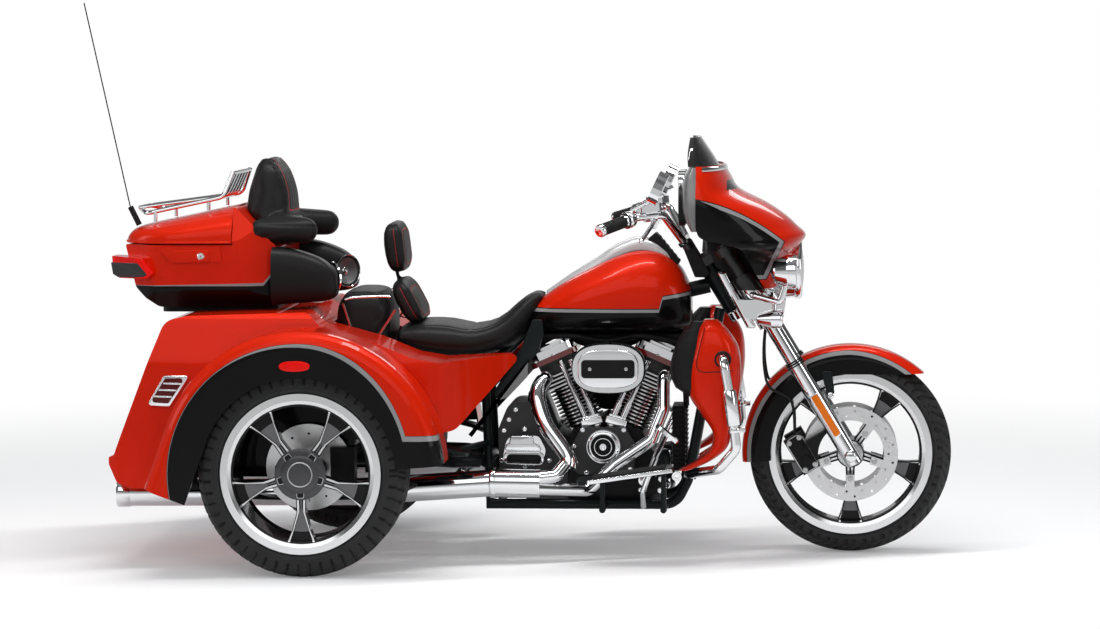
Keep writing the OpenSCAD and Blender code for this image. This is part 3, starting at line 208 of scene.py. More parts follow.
class Finish:
    """Material whose nodes hang off one Principled shader."""

    def __init__(self, name, **constants):
        self.material = bpy.data.materials.new(name)
        self.material.use_nodes = True
        self.tree = self.material.node_tree
        self.tree.nodes.clear()
        self.shader = self.tree.nodes.new("ShaderNodeBsdfPrincipled")
        node_in(self.tree, "ShaderNodeOutputMaterial", links={0: self.shader.outputs[0]})
        self.coords = None
        self.set(**constants)

    def node(self, kind, settings=None, inputs=None, output=0):
        links = {key: value.socket if isinstance(value, Value) else value
                 for key, value in (inputs or {}).items() if value is not None}
        return Value(self, node_in(self.tree, kind, settings, links).outputs[output])

    def set(self, **sockets):
        for key, value in sockets.items():
            socket = self.shader.inputs[key.replace("_", " ")]
            if isinstance(value, Value):
                self.tree.links.new(value.socket, socket)
            elif isinstance(value, tuple):
                socket.default_value = (*value, 1.0)
            else:
                socket.default_value = value
        return self

    def object_point(self):
        if self.coords is None:
            self.coords = self.node("ShaderNodeTexCoord", output=3)
        return self.coords

    def parts(self, vector):
        outs = self.node("ShaderNodeSeparateXYZ", inputs={0: vector}).socket.node.outputs
        return [Value(self, outs[i]) for i in range(3)]

    def place(self):
        """The surface point in millimetres: ahead of the rear axle, to the left, above the floor."""
        x, y, z = self.parts(self.object_point())
        return x / MM - AXLE_X / MM, y / MM, z / MM

    def facing(self):
        """Parts of the surface normal."""
        return self.parts(self.node("ShaderNodeNewGeometry", output=1))

    def noise(self, scale, detail=3.0, roughness=0.5):
        return self.node("ShaderNodeTexNoise", inputs={
            "Vector": self.object_point(), "Scale": scale, "Detail": detail, "Roughness": roughness})

    def cells(self, scale):
        return self.node("ShaderNodeTexVoronoi", inputs={"Vector": self.object_point(), "Scale": scale})

    def mix(self, factor, a, b):
        rgba = [v if isinstance(v, Value) else (*v, 1.0) for v in (a, b)]
        return self.node("ShaderNodeMix", {"data_type": "RGBA", "clamp_factor": True},
                         {0: factor, 6: rgba[0], 7: rgba[1]}, output=2)

    def bump(self, height, strength, distance):
        return self.node("ShaderNodeBump", inputs={
            "Strength": strength, "Distance": distance, "Height": height})


FINISHES = {}


def finish(name):
    """The named material, made on first use."""
    if name not in FINISHES:
        FINISHES[name] = MAKERS[name](name).material
    return FINISHES[name]


def varied(f, colour, amount=0.12, scale=7.0):
    """A colour that drifts a little over the surface."""
    low = tuple(c * (1 - amount) for c in colour)
    high = tuple(min(1.0, c * (1 + amount)) for c in colour)
    return f.mix(f.noise(scale, 2.0), low, high)


def lacquer(f, colour):
    """Coloured base with flake under a clear coat."""
    f.set(Base_Color=colour, Metallic=0.12, Coat_Weight=1.0, Coat_Roughness=0.02, Coat_IOR=COAT_IOR,
          Specular_IOR_Level=0.06)
    f.set(Roughness=f.noise(40.0, 2.0).ramp(0.3, 0.7, 0.30, 0.38))
    return f.set(Normal=f.bump(f.noise(420.0, 1.0), 0.05, 0.0004))


def flaked(f, colour):
    """Paint colour with a fine metallic grain."""
    grain = f.cells(2600.0).ramp(0.1, 0.9, -0.06, 0.06)
    drift = f.noise(5.0, 2.0).ramp(0.3, 0.7, -0.05, 0.05)
    level = grain + drift + 0.5
    return f.mix(level, tuple(c * 0.62 for c in colour), tuple(min(1.0, c * 1.38) for c in colour))


def paint_base(f):
    return flaked(f, tuple(colours().paint))


def dark_base(f, share=1.0):
    return varied(f, tuple(c * share for c in colours().dark), 0.2)


def stripe_base(f):
    return varied(f, tuple(colours().stripe), 0.06)


def striped(f, inside, first, last, soft=0.6, dark=None, also=None):
    """Paint outside and the dark panel inside, with a stripe from the first to the last depth."""
    edge = inside.above(0.0, soft)
    if also is not None:
        edge = edge.most(also)
    band = inside.above(first, soft) * (1 - (inside - last).above(0.0, soft))
    return f.mix(band, f.mix(edge, paint_base(f), dark or dark_base(f)), stripe_base(f))


def paint_plain(name):
    f = Finish(name)
    return lacquer(f, paint_base(f))


def paint_dark(name):
    f = Finish(name)
    return lacquer(f, dark_base(f))


def paint_silver(name):
    f = Finish(name)
    lacquer(f, varied(f, tuple(colours().silver), 0.05))
    return f.set(Metallic=0.45)


def paint_grey(name):
    f = Finish(name)
    lacquer(f, varied(f, tuple(c * 0.34 for c in colours().silver), 0.06))
    return f.set(Metallic=0.35)


def paint_fairing(name):
    f = Finish(name)
    x, _, z = f.place()
    ahead = x - 1192.0
    line = 1138.0 - 0.16 * ahead - 0.00125 * ahead * ahead
    inside = (line - z).least((1440.0 + (z - 943.0) * 0.47 - x) * 0.9).least(z - 876.0)
    width = x.ramp(1206.0, 1270.0, 0.0, 12.0)
    vent = z.above(1160.0, 1.0) * (1 - z.above(1190.0, 1.0)) * x.above(1286.0, 1.0)
    return lacquer(f, striped(f, inside, 3.0, width + 3.0, also=vent))


def paint_tank(name):
    f = Finish(name)
    x, y, z = f.place()
    line = 786.0 + x.ramp(1070.0, 1082.0, 0.0, 40.0) + (x - 1082.0).most(0.0) * 0.14
    console = x.ramp(706.0, 930.0, 33.0, 60.0) - x.ramp(1010.0, 1136.0, 0.0, 20.0)
    border = (console - abs(y)).above(0.0, 0.8) * z.above(820.0, 2.0)
    return lacquer(f, f.mix(border, striped(f, line - z, 3.0, 13.0), dark_base(f)))


def paint_front_fender(name):
    f = Finish(name)
    x, y, z = f.place()
    ahead, up = x - WHEELBASE, z - FRONT_R
    radius = (ahead * ahead + up * up).root()
    side = abs(y) - 44.0
    edge = 328.0 - (ahead / 200.0).most(0.0) * 10.0
    return lacquer(f, striped(f, (edge - radius).least(side), 1.5, 14.0))


def paint_rear_fender(name):
    f = Finish(name)
    x, y, z = f.place()
    up = z - REAR_R
    radius = (x * x + up * up).root()
    fall = x.ramp(20.0, 330.0)
    edge = 402.0 - fall * fall * 52.0
    low = (441.0 - z).least((x - 296.0) * 2.0).least(abs(y) - 600.0)
    inside = (edge - radius).least(abs(y) - 655.0).most(low)
    nx, ny, nz = f.facing()
    under = (-(nx * x + nz * up) / radius).above(0.2, 0.2).most((-(ny * y) / 600.0).above(0.3, 0.2))
    dark = dark_base(f, 1.4)
    outer = striped(f, inside, 1.5, x.ramp(-260.0, 180.0, 3.0, 17.0), 0.8, dark)
    return lacquer(f, f.mix(under, outer, dark))


def paint_body(name):
    """Paint with dark wheel arches."""
    f = Finish(name)
    x, y, z = f.place()
    up = z - REAR_R
    arch = (1 - (x * x + up * up).root().above(425.0, 2.0)) * abs(y).above(300.0, 2.0)
    return lacquer(f, f.mix(arch, paint_base(f), dark_base(f)))


def paint_case(name):
    f = Finish(name)
    x, _, z = f.place()
    line = 870.0 + (x + 540.0) * 0.02 + x.ramp(-162.0, -138.0, 0.0, 30.0)
    return lacquer(f, striped(f, line - z, 0.0, x.ramp(-540.0, -200.0, 1.5, 9.0), 0.8))


def chrome(name):
    f = Finish(name, Metallic=1.0, Base_Color=CHROME)
    return f.set(Roughness=f.noise(28.0, 4.0, 0.6).ramp(0.25, 0.8, 0.035, 0.11))


def surface(name, colour, drift, rough, levels, grain=None, between=(0.2, 0.8), **constants):
    """Material with a drifting colour, a noise between two levels of roughness, and a fine bump.

    The drift is an amount and a scale, and rough is a noise's scale and detail. The grain is a noise's scale
    and detail with the bump's strength and depth.
    """
    f = Finish(name, **constants)
    f.set(Base_Color=varied(f, colour, *drift), Roughness=f.noise(*rough).ramp(*between, *levels))
    if grain:
        f.set(Normal=f.bump(f.noise(*grain[:2]), *grain[2:]))
    return f


def satin_metal(name):
    return surface(name, (0.52, 0.525, 0.53), (0.08, 30.0), (90.0, 3.0), (0.24, 0.38), Metallic=1.0)


def disc_steel(name):
    return surface(name, (0.70, 0.70, 0.705), (0.03, 9.0), (14.0, 2.0), (0.28, 0.36), Metallic=1.0)


def black_steel(name):
    return surface(name, (0.006, 0.009, 0.0095), (0.3, 12.0), (60.0, 3.0), (0.28, 0.42),
                   (500.0, 2.0, 0.06, 0.0004), (0.25, 0.75), Coat_Weight=0.6, Coat_Roughness=0.08,
                   Coat_IOR=COAT_IOR, Specular_IOR_Level=0.12)


def wrinkle_black(name):
    f = surface(name, (0.008, 0.008, 0.0085), (0.35, 18.0), (45.0, 3.0), (0.36, 0.52),
                Specular_IOR_Level=0.15)
    return f.set(Normal=f.bump(f.cells(900.0), 0.28, 0.0006))


def black_plastic(name):
    return surface(name, (0.009, 0.009, 0.0095), (0.25, 9.0), (30.0, 3.0), (0.38, 0.5),
                   (1400.0, 2.0, 0.18, 0.0004), Specular_IOR_Level=0.16)


def tyre_rubber(name):
    """Rubber that is darkest in the tread's grooves, where the dark is painted shade."""
    f = Finish(name, Specular_IOR_Level=0.24)
    groove = f.node("ShaderNodeAttribute", {"attribute_name": "groove"})
    # Near-black colour where the groove attribute is set: painted shade in the grooves.
    f.set(Base_Color=f.mix(groove, varied(f, (0.024, 0.024, 0.0245), 0.3, 14.0), (0.002, 0.002, 0.002)))
    f.set(Roughness=f.noise(55.0, 4.0).ramp(0.2, 0.8, 0.55, 0.75))
    return f.set(Normal=f.bump(f.noise(900.0, 3.0), 0.15, 0.0005))


def soft_rubber(name):
    return surface(name, (0.013, 0.013, 0.013), (0.25, 30.0), (80.0, 3.0), (0.5, 0.66),
                   (1100.0, 2.0, 0.12, 0.0004), Specular_IOR_Level=0.25)


def leather(name):
    f = Finish(name, Specular_IOR_Level=0.17)
    base = tuple(colours().leather)
    pores = f.cells(620.0)
    folds = f.noise(170.0, 4.0, 0.6)
    f.set(Base_Color=f.mix(f.noise(11.0, 4.0), tuple(c * 0.8 for c in base), tuple(c * 1.35 for c in base)))
    f.set(Roughness=(pores * 0.12 + folds * 0.14).ramp(0.05, 0.25, 0.38, 0.56))
    f.set(Normal=f.bump(pores * 0.7 + folds * 0.6, 0.22, 0.0008))
    return f


def thread(name):
    f = Finish(name)
    f.set(Base_Color=varied(f, tuple(colours().thread), 0.3, 400.0), Roughness=0.65)
    return f


def finned(name):
    """Black castings with machined fin edges, measured in each cylinder's own frame."""
    f = Finish(name)
    x, y, z = f.place()
    out, up = abs(x - CRANK[0]), z - CRANK[1]
    across = out * math.cos(VEE) - up * math.sin(VEE)
    along = out * math.sin(VEE) + up * math.cos(VEE)
    barrel = (across * across + y * y).root().above(63.6, 0.8) * (1 - along.above(314.0, 1.0))
    head = abs(across).above(67.8, 0.8).most(abs(y).above(81.8, 0.8)) * along.above(314.0, 1.0)
    edge = barrel.most(head)
    f.set(Base_Color=f.mix(edge, varied(f, (0.011, 0.011, 0.0115), 0.3, 20.0), (0.62, 0.62, 0.63)))
    f.set(Metallic=edge, Roughness=f.mix(edge, (0.42,) * 3, (0.22,) * 3))
    return f


def rocker_finish(name):
    """Chrome boxes over a dark red band."""
    f = Finish(name)
    x, _, z = f.place()
    out, up = abs(x - CRANK[0]), z - CRANK[1]
    along = out * math.sin(VEE) + up * math.cos(VEE)
    metal = along.above(417.2, 0.5)
    f.set(Base_Color=f.mix(metal, varied(f, (0.17, 0.006, 0.005), 0.15), CHROME))
    f.set(Roughness=f.noise(30.0, 3.0).ramp(0.2, 0.8, 0.05, 0.15))
    return f.set(Metallic=metal, Coat_Weight=1.0 - metal)


def plated(f, metal, dull, bright):
    """Chrome where metal is 1, on black, with the roughness of each."""
    f.set(Base_Color=f.mix(metal, varied(f, (0.012, 0.012, 0.0125), 0.3), CHROME))
    return f.set(Metallic=metal, Roughness=f.mix(metal, (dull,) * 3, (bright,) * 3))


def cam_finish(name):
    """Round chrome cover on a black case."""
    f = Finish(name)
    x, y, z = f.place()
    out, up = x - 894.0, z - 352.0
    cover = 1 - (out * out + up * up).root().above(52.6, 0.6)
    return plated(f, cover * (-y).above(160.0, 1.0), 0.4, 0.06)


def gearbox_finish(name):
    """Chrome side cover on a black gearbox."""
    f = Finish(name)
    _, y, _ = f.place()
    plated(f, (-y).above(110.0, 1.0), 0.4, 0.07)
    return f.set(Normal=f.bump(f.cells(800.0), 0.1, 0.0003))


def fork_finish(name):
    """Chrome legs below black covers."""
    f = Finish(name)
    _, _, z = f.place()
    return plated(f, 1 - z.above(842.0, 1.0), 0.3, 0.07)


def wheel_finish(name, centre_x, centre_z, middle_y, face, widths, rim_face, rim_r, line):
    """Machined spoke edges and rim on black, with grey between the two edges of each spoke."""
    f = Finish(name)
    x, y, z = f.place()
    ahead, up = x - centre_x, z - centre_z
    radius = (ahead * ahead + up * up).root()
    angle = f.node("ShaderNodeMath", {"operation": "ARCTAN2"}, {0: up, 1: ahead})
    turn = f.node("ShaderNodeMath", {"operation": "WRAP"},
                  {0: angle + math.pi / 2, 1: math.pi / 5, 2: -math.pi / 5})
    across = abs(f.node("ShaderNodeMath", {"operation": "SINE"}, {0: turn}) * radius)
    half = widths[0][1]
    for (r0, h0), (r1, h1) in zip(widths[:-1], widths[1:]):
        half = half + radius.ramp(r0, r1, 0.0, h1 - h0)
    side = abs(y) - middle_y
    _, ny, _ = f.facing()
    flat = abs(ny).above(0.8, 0.2)
    rim_start = widths[-1][0]
    on_spoke = (1 - radius.above(rim_start - 4.0, 1.0)) * radius.above(widths[0][0] + 6.0, 1.0) * flat
    spoke = side.above(face - 1.0, 0.6) * on_spoke
    edge = spoke * (across - half).above(-line, 0.6) * (1 - (across - half).above(6.0 - line, 0.6))
    middle = spoke * (1 - (across - half).above(-line - 4.5, 0.6))
    middle = middle * (1 - radius.above(rim_start - 16.0, 3.0))
    rim = side.above(rim_face, 0.6) * radius.above(rim_r, 0.8) * flat
    deep = side.above(face - 8.5, 0.6) * (1 - side.above(face - 3.0, 0.6)) * on_spoke
    grey = middle.most(deep * (1 - radius.above(rim_start - 38.0, 1.0)))
    bright = edge.most(rim)
    base = f.mix(grey, varied(f, (0.007, 0.007, 0.0075), 0.2), (0.16, 0.16, 0.165))
    f.set(Base_Color=f.mix(bright, base, (0.74, 0.745, 0.75)))
    f.set(Metallic=bright.most(grey * 0.8))
    f.set(Roughness=f.mix(bright, f.mix(grey, (0.25,) * 3, (0.42,) * 3), (0.17,) * 3))
    f.set(Coat_Weight=1.0 - bright, Coat_Roughness=0.05, Coat_IOR=COAT_IOR, Specular_IOR_Level=0.1)
    return f


def front_wheel_finish(name):
    rows = [(30.0, 15.0), (124.9, 12.75), (181.6, 27.3), (227.0, 44.0)]
    return wheel_finish(name, WHEELBASE, FRONT_R, 0.0, 17.0, rows, 46.0, 226.0, 11.5)


def rear_wheel_finish(name):
    rows = [(50.0, 17.0), (118.3, 14.5), (172.0, 28.5), (215.0, 46.0)]
    return wheel_finish(name, 0.0, REAR_R, 545.0, 85.0, rows, 90.0, 214.0, 9.0)


def tinted_lens(name, colour, depth):
    f = Finish(name, Transmission_Weight=depth, IOR=1.46, Coat_Weight=1.0, Coat_Roughness=0.02,
               Coat_IOR=1.2)
    f.set(Specular_IOR_Level=0.1)
    f.set(Base_Color=varied(f, colour, 0.1, 40.0))
    f.set(Roughness=f.noise(60.0, 2.0).ramp(0.3, 0.7, 0.08, 0.16))
    return f


def smoked_glass(name):
    f = Finish(name, Transmission_Weight=0.75, IOR=1.45, Coat_Weight=1.0, Coat_Roughness=0.02)
    f.set(Base_Color=varied(f, (0.055, 0.052, 0.052), 0.1),
          Roughness=f.noise(20.0).ramp(0.3, 0.7, 0.03, 0.07))
    return f


def speaker_cone(name):
    return surface(name, (0.16, 0.16, 0.165), (0.15, 60.0), (200.0, 2.0), (0.35, 0.5), Metallic=0.3)


def dial_face(name):
    f = Finish(name, Coat_Weight=1.0, Coat_Roughness=0.02, Roughness=0.4)
    f.set(Base_Color=varied(f, (0.01, 0.01, 0.011), 0.2))
    return f


def dark_thread(name):
    f = Finish(name, Roughness=0.7)
    f.set(Base_Color=varied(f, (0.03, 0.03, 0.031), 0.3, 400.0))
    return f


def dark_metal(name):
    return surface(name, (0.075, 0.075, 0.078), (0.15, 40.0), (120.0, 3.0), (0.28, 0.42), Metallic=0.7)


def lamp_glass(name):
    """Ribbed lens over a bright reflector, with painted reflection in bands across the ribs."""
    f = Finish(name, Coat_Weight=1.0, Coat_Roughness=0.015, Metallic=0.6)
    _, y, _ = f.place()
    ribs = f.node("ShaderNodeMath", {"operation": "PINGPONG"}, {0: y, 1: 5.0})
    # Colour from dark to light across each rib: painted reflection of the reflector through ribbed glass.
    f.set(Base_Color=f.mix(ribs / 5.0, (0.42, 0.43, 0.45), (0.78, 0.79, 0.80)))
    f.set(Roughness=f.noise(50.0, 2.0).ramp(0.3, 0.7, 0.05, 0.12))
    f.set(Normal=f.bump(ribs, 0.35, 0.0012))
    return f


MAKERS = {
    "paint": paint_plain, "paint_dark": paint_dark, "paint_silver": paint_silver, "paint_grey": paint_grey,
    "paint_fairing": paint_fairing, "paint_tank": paint_tank, "paint_front_fender": paint_front_fender,
    "paint_rear_fender": paint_rear_fender, "paint_case": paint_case, "paint_body": paint_body,
    "chrome": chrome,
    "satin_metal": satin_metal, "disc_steel": disc_steel, "black_steel": black_steel,
    "wrinkle_black": wrinkle_black, "black_plastic": black_plastic, "tyre_rubber": tyre_rubber,
    "soft_rubber": soft_rubber, "leather": leather, "thread": thread, "finned": finned,
    "rocker": rocker_finish, "cam_cover": cam_finish, "gearbox": gearbox_finish, "fork": fork_finish,
    "front_wheel": front_wheel_finish, "rear_wheel": rear_wheel_finish,
    "red_lens": lambda name: tinted_lens(name, (0.92, 0.004, 0.002), 0.0),
    "amber_lens": lambda name: tinted_lens(name, (0.92, 0.20, 0.008), 0.05),
    "smoked_lens": lambda name: tinted_lens(name, (0.05, 0.05, 0.052), 0.2),
    "smoked_glass": smoked_glass, "speaker_cone": speaker_cone,
    "dial_face": dial_face, "dark_thread": dark_thread, "dark_metal": dark_metal, "lamp_glass": lamp_glass,
    "dark_red_lens": lambda name: tinted_lens(name, (0.10, 0.006, 0.006), 0.1),
}


# Mesh helpers


def unit(v):
    return v / np.linalg.norm(v)


def spow(value, e):
    """Signed power that turns a circle's sine or cosine into a superellipse's."""
    return float(np.sign(value) * np.abs(value) ** (2.0 / e))


def turns(n):
    """Angles of a whole turn in n steps."""
    return [2 * math.pi * k / n for k in range(n)]


def arc(centre, r, a0, a1, n):
    return [(centre[0] + r * math.cos(a0 + (a1 - a0) * i / n),
             centre[1] + r * math.sin(a0 + (a1 - a0) * i / n))
            for i in range(n + 1)]


def rounded(rows, n):
    """Outline through rows of x, y and corner radius, with n steps at each round corner."""
    out = []
    for i, (px, py, r) in enumerate(rows):
        p = np.array((px, py), float)
        if r == 0:
            out.append((px, py))
            continue
        a = np.array(rows[i - 1][:2], float)
        b = np.array(rows[(i + 1) % len(rows)][:2], float)
        u, v = unit(a - p), unit(b - p)
        half = math.acos(max(-1.0, min(1.0, float(u @ v)))) / 2
        c = p + unit(u + v) * r / math.sin(half)
        s, e = p + u * r / math.tan(half) - c, p + v * r / math.tan(half) - c
        a0 = math.atan2(s[1], s[0])
        turn = (math.atan2(e[1], e[0]) - a0 + math.pi) % (2 * math.pi) - math.pi
        out += arc(c, r, a0, a0 + turn, n)
    return out


def box_outline(x0, y0, x1, y1, r, n):
    """Rectangle with round corners."""
    return rounded([(x0, y0, r), (x1, y0, r), (x1, y1, r), (x0, y1, r)], n)


def oval(a, b, e, n):
    """Superellipse outline."""
    return [(a * spow(math.cos(t), e), b * spow(math.sin(t), e)) for t in turns(n)]


def hermite(rows, x, column):
    """Smooth value of a column at x, from rows sorted by their first column."""
    i = 0
    while i < len(rows) - 2 and x > rows[i + 1][0]:
        i += 1

    def slope(k):
        a, b = max(k - 1, 0), min(k + 1, len(rows) - 1)
        return (rows[b][column] - rows[a][column]) / (rows[b][0] - rows[a][0])

    h = rows[i + 1][0] - rows[i][0]
    t = (x - rows[i][0]) / h
    return (rows[i][column] * (1 + 2 * t) * (1 - t) ** 2 + slope(i) * h * t * (1 - t) ** 2
            + rows[i + 1][column] * t * t * (3 - 2 * t) - slope(i + 1) * h * t * t * (1 - t))


def frame_along(direction):
    """Two unit vectors square to a direction."""
    d = Vector(direction).normalized()
    side = Vector(UP) if abs(d.z) < 0.9 else Vector(AHEAD)
    u = side.cross(d).normalized()
    return u, d.cross(u).normalized()


def smooth_path(points, steps=8):
    """Catmull-Rom curve through points."""
    pts = [Vector(p) for p in points]
    out = []
    for i in range(len(pts) - 1):
        p0, p1, p2 = pts[max(i - 1, 0)], pts[i], pts[i + 1]
        p3 = pts[min(i + 2, len(pts) - 1)]
        for k in range(steps):
            t = k / steps
            out.append(0.5 * ((2 * p1) + (p2 - p0) * t + (2 * p0 - 5 * p1 + 4 * p2 - p3) * t * t
                              + (3 * p1 - p0 - 3 * p2 + p3) * t ** 3))
    return out + [pts[-1]]


class Shape:
    """Mesh under construction, in metres, with one material index for each face."""

    def __init__(self):
        self.verts = []
        self.faces = []
        self.slots = []

    def add(self, verts, faces, slot=0):
        base = len(self.verts)
        self.verts += [tuple(v) for v in verts]
        self.faces += [tuple(base + i for i in f) for f in faces]
        self.slots += [slot] * len(faces)
        return self

    def loft(self, rings, caps=(True, True), slot=0):
        n = len(rings[0])
        verts = [p for ring in rings for p in ring]
        faces = [(i * n + j, i * n + (j + 1) % n, (i + 1) * n + (j + 1) % n, (i + 1) * n + j)
                 for i in range(len(rings) - 1) for j in range(n)]
        if caps[0]:
            faces.append(tuple(range(n))[::-1])
        if caps[1]:
            faces.append(tuple(range((len(rings) - 1) * n, len(rings) * n)))
        return self.add(verts, faces, slot)

    def shell(self, rings):
        """Loft of rings that are an outer line and an inner one backwards, with the end gaps filled."""
        self.loft(rings, NO_CAPS)
        n = len(rings[0]) // 2
        for ring in (rings[0], rings[-1]):
            self.add(ring, [(j, j + 1, 2 * n - 2 - j, 2 * n - 1 - j) for j in range(n - 1)])
        return self

    def tube(self, path, radius, sides=14, slot=0, section=None):
        """Round tube, or one of a given section, along points. The radius may be one for each point."""
        pts = [Vector(p) for p in path]
        radii = radius if hasattr(radius, "__len__") else [radius] * len(pts)
        outline = section or [(math.cos(a), math.sin(a)) for a in turns(sides)]
        rings = []
        u = None
        for i, p in enumerate(pts):
            d = (pts[min(i + 1, len(pts) - 1)] - pts[max(i - 1, 0)]).normalized()
            if u is None:
                u, v = frame_along(d)
            else:
                u = (u - d * u.dot(d)).normalized()
                v = d.cross(u)
            rings.append([p + (u * a + v * b) * radii[i] for a, b in outline])
        return self.loft(rings, slot=slot)

    def revolve(self, profile, origin, axis, steps, slot=0):
        """Profile of (distance along the axis, radius) pairs in millimetres, turned about the axis."""
        u, v = frame_along(axis)
        d = Vector(axis).normalized()
        o = Vector(origin)
        angles = [math.radians(360.0 * k / steps) for k in range(steps)]
        tipped = min(profile[0][1], profile[-1][1]) < 0.1
        rows = list(profile) if tipped else list(profile) + [profile[0]]
        rings = [[o + d * (h * MM) + (u * math.cos(a) + v * math.sin(a)) * (max(r, 0.02) * MM)
                  for a in angles] for h, r in rows]
        return self.loft(rings, (tipped, tipped), slot)

    def prism(self, outline, origin, right, up, depth, bevel=0.0, slot=0, steps=3):
        """Outline in millimetres in the plane of right and up, raised by depth with a round front edge."""
        r, w = Vector(right).normalized(), Vector(up).normalized()
        d = r.cross(w)
        o = Vector(origin)
        pts = [np.array(p, float) for p in outline]
        n = len(pts)
        area = sum(pts[i][0] * pts[(i + 1) % n][1] - pts[(i + 1) % n][0] * pts[i][1] for i in range(n))
        if area < 0:
            pts.reverse()
        inward = []
        for i in range(n):
            t = unit(pts[(i + 1) % n] - pts[i - 1])
            inward.append(np.array((-t[1], t[0])))

        def ring(inset, height):
            return [o + r * ((p[0] + q[0] * inset) * MM) + w * ((p[1] + q[1] * inset) * MM)
                    + d * (height * MM) for p, q in zip(pts, inward)]

        rings = [ring(0, 0), ring(0, depth - bevel)]
        for k in range(1, steps + 1 if bevel else 1):
            a = math.pi / 2 * k / steps
            rings.append(ring(bevel * (1 - math.cos(a)), depth - bevel + bevel * math.sin(a)))
        return self.loft(rings, slot=slot)

    def build(self, name, materials, body, slot, angle=38.0, mirror=False):
        """Object at the origin that rides on a body."""
        names = [materials] if isinstance(materials, str) else materials
        mesh = bpy.data.meshes.new(name)
        mesh.from_pydata(self.verts, [], self.faces)
        for material in names:
            mesh.materials.append(finish(material))
        mesh.polygons.foreach_set("material_index", self.slots)
        settle(mesh, angle, mirror)
        return seat(mesh, name, body)


def settle(mesh, angle=38.0, mirror=False):
    """Merges doubles, points faces outwards, and keeps edges sharper than the angle."""
    bm = bmesh.new()
    bm.from_mesh(mesh)
    bmesh.ops.remove_doubles(bm, verts=bm.verts, dist=MERGE)
    if mirror:
        copy = bmesh.ops.duplicate(bm, geom=bm.verts[:] + bm.edges[:] + bm.faces[:])["geom"]
        for v in copy:
            if isinstance(v, bmesh.types.BMVert):
                v.co.y = -v.co.y
    bmesh.ops.recalc_face_normals(bm, faces=bm.faces)
    limit = math.radians(angle)
    for face in bm.faces:
        face.smooth = True
    for edge in bm.edges:
        edge.smooth = len(edge.link_faces) == 2 and edge.calc_face_angle(math.pi) < limit
    bm.to_mesh(mesh)
    bm.free()
    mesh.update()


def seat(mesh, name, body):
    piece = bpy.data.objects.new(name, mesh)
    bpy.context.scene.collection.objects.link(piece)
    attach(piece, body)
    return piece


def copy_of(node, name):
    """Mesh of a CAD node with its doubles merged."""
    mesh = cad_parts[node].data.copy()
    mesh.name = name
    mesh.materials.clear()
    bm = bmesh.new()
    bm.from_mesh(mesh)
    bmesh.ops.remove_doubles(bm, verts=bm.verts, dist=MERGE)
    bm.to_mesh(mesh)
    bm.free()
    return mesh


# Geometry Nodes


def node_in(tree, kind, settings=None, links=None):
    made = tree.nodes.new(kind)
    for key, value in (settings or {}).items():
        setattr(made, key, value)
    for key, value in (links or {}).items():
        if hasattr(value, "is_output"):
            tree.links.new(value, made.inputs[key])
        else:
            made.inputs[key].default_value = value
    return made


def new_tree(name, sockets):
    tree = bpy.data.node_groups.new(name, "GeometryNodeTree")
    tree.interface.new_socket("Geometry", in_out="INPUT", socket_type="NodeSocketGeometry")
    for label, kind in sockets:
        tree.interface.new_socket(label, in_out="INPUT", socket_type=kind)
    tree.interface.new_socket("Geometry", in_out="OUTPUT", socket_type="NodeSocketGeometry")
    return tree, tree.nodes.new("NodeGroupInput"), tree.nodes.new("NodeGroupOutput")


def repeat_tree():
    """One template on every point, turned by the point's own angles."""
    tree = bpy.data.node_groups.get("repeat_on_points")
    if tree:
        return tree
    tree, given, out = new_tree("repeat_on_points", [
        ("Template", "NodeSocketObject"), ("Size", "NodeSocketFloat"), ("Finish", "NodeSocketMaterial")])
    info = node_in(tree, "GeometryNodeObjectInfo", {"transform_space": "ORIGINAL"},
                   {0: given.outputs["Template"]})
    turn = node_in(tree, "GeometryNodeInputNamedAttribute", {"data_type": "FLOAT_VECTOR"}, {0: "turn"})
    angles = node_in(tree, "FunctionNodeEulerToRotation", links={0: turn.outputs[0]})
    placed = node_in(tree, "GeometryNodeInstanceOnPoints", links={
        "Points": given.outputs["Geometry"], "Instance": info.outputs["Geometry"],
        "Rotation": angles.outputs[0], "Scale": given.outputs["Size"]})
    real = node_in(tree, "GeometryNodeRealizeInstances", links={0: placed.outputs[0]})
    painted = node_in(tree, "GeometryNodeSetMaterial",
                      links={0: real.outputs[0], 2: given.outputs["Finish"]})
    tree.links.new(painted.outputs[0], out.inputs[0])
    return tree


def stitch_tree():
    """Short threads along the edges of a mesh path."""
    tree = bpy.data.node_groups.get("stitch_along_path")
    if tree:
        return tree
    tree, given, out = new_tree("stitch_along_path", [
        ("Pitch", "NodeSocketFloat"), ("Thread", "NodeSocketFloat"), ("Finish", "NodeSocketMaterial")])
    curve = node_in(tree, "GeometryNodeMeshToCurve", links={0: given.outputs["Geometry"]})
    points = node_in(tree, "GeometryNodeCurveToPoints", {"mode": "LENGTH"}, {
        0: curve.outputs[0], "Length": given.outputs["Pitch"]})
    long = node_in(tree, "ShaderNodeMath", {"operation": "MULTIPLY"}, {0: given.outputs["Pitch"], 1: 0.68})
    loop = node_in(tree, "GeometryNodeMeshCylinder", links={
        "Vertices": 6, "Side Segments": 1, "Radius": given.outputs["Thread"], "Depth": long.outputs[0]})
    placed = node_in(tree, "GeometryNodeInstanceOnPoints", links={
        "Points": points.outputs["Points"], "Instance": loop.outputs["Mesh"],
        "Rotation": points.outputs["Rotation"]})
    real = node_in(tree, "GeometryNodeRealizeInstances", links={0: placed.outputs[0]})
    painted = node_in(tree, "GeometryNodeSetMaterial",
                      links={0: real.outputs[0], 2: given.outputs["Finish"]})
    tree.links.new(painted.outputs[0], out.inputs[0])
    return tree


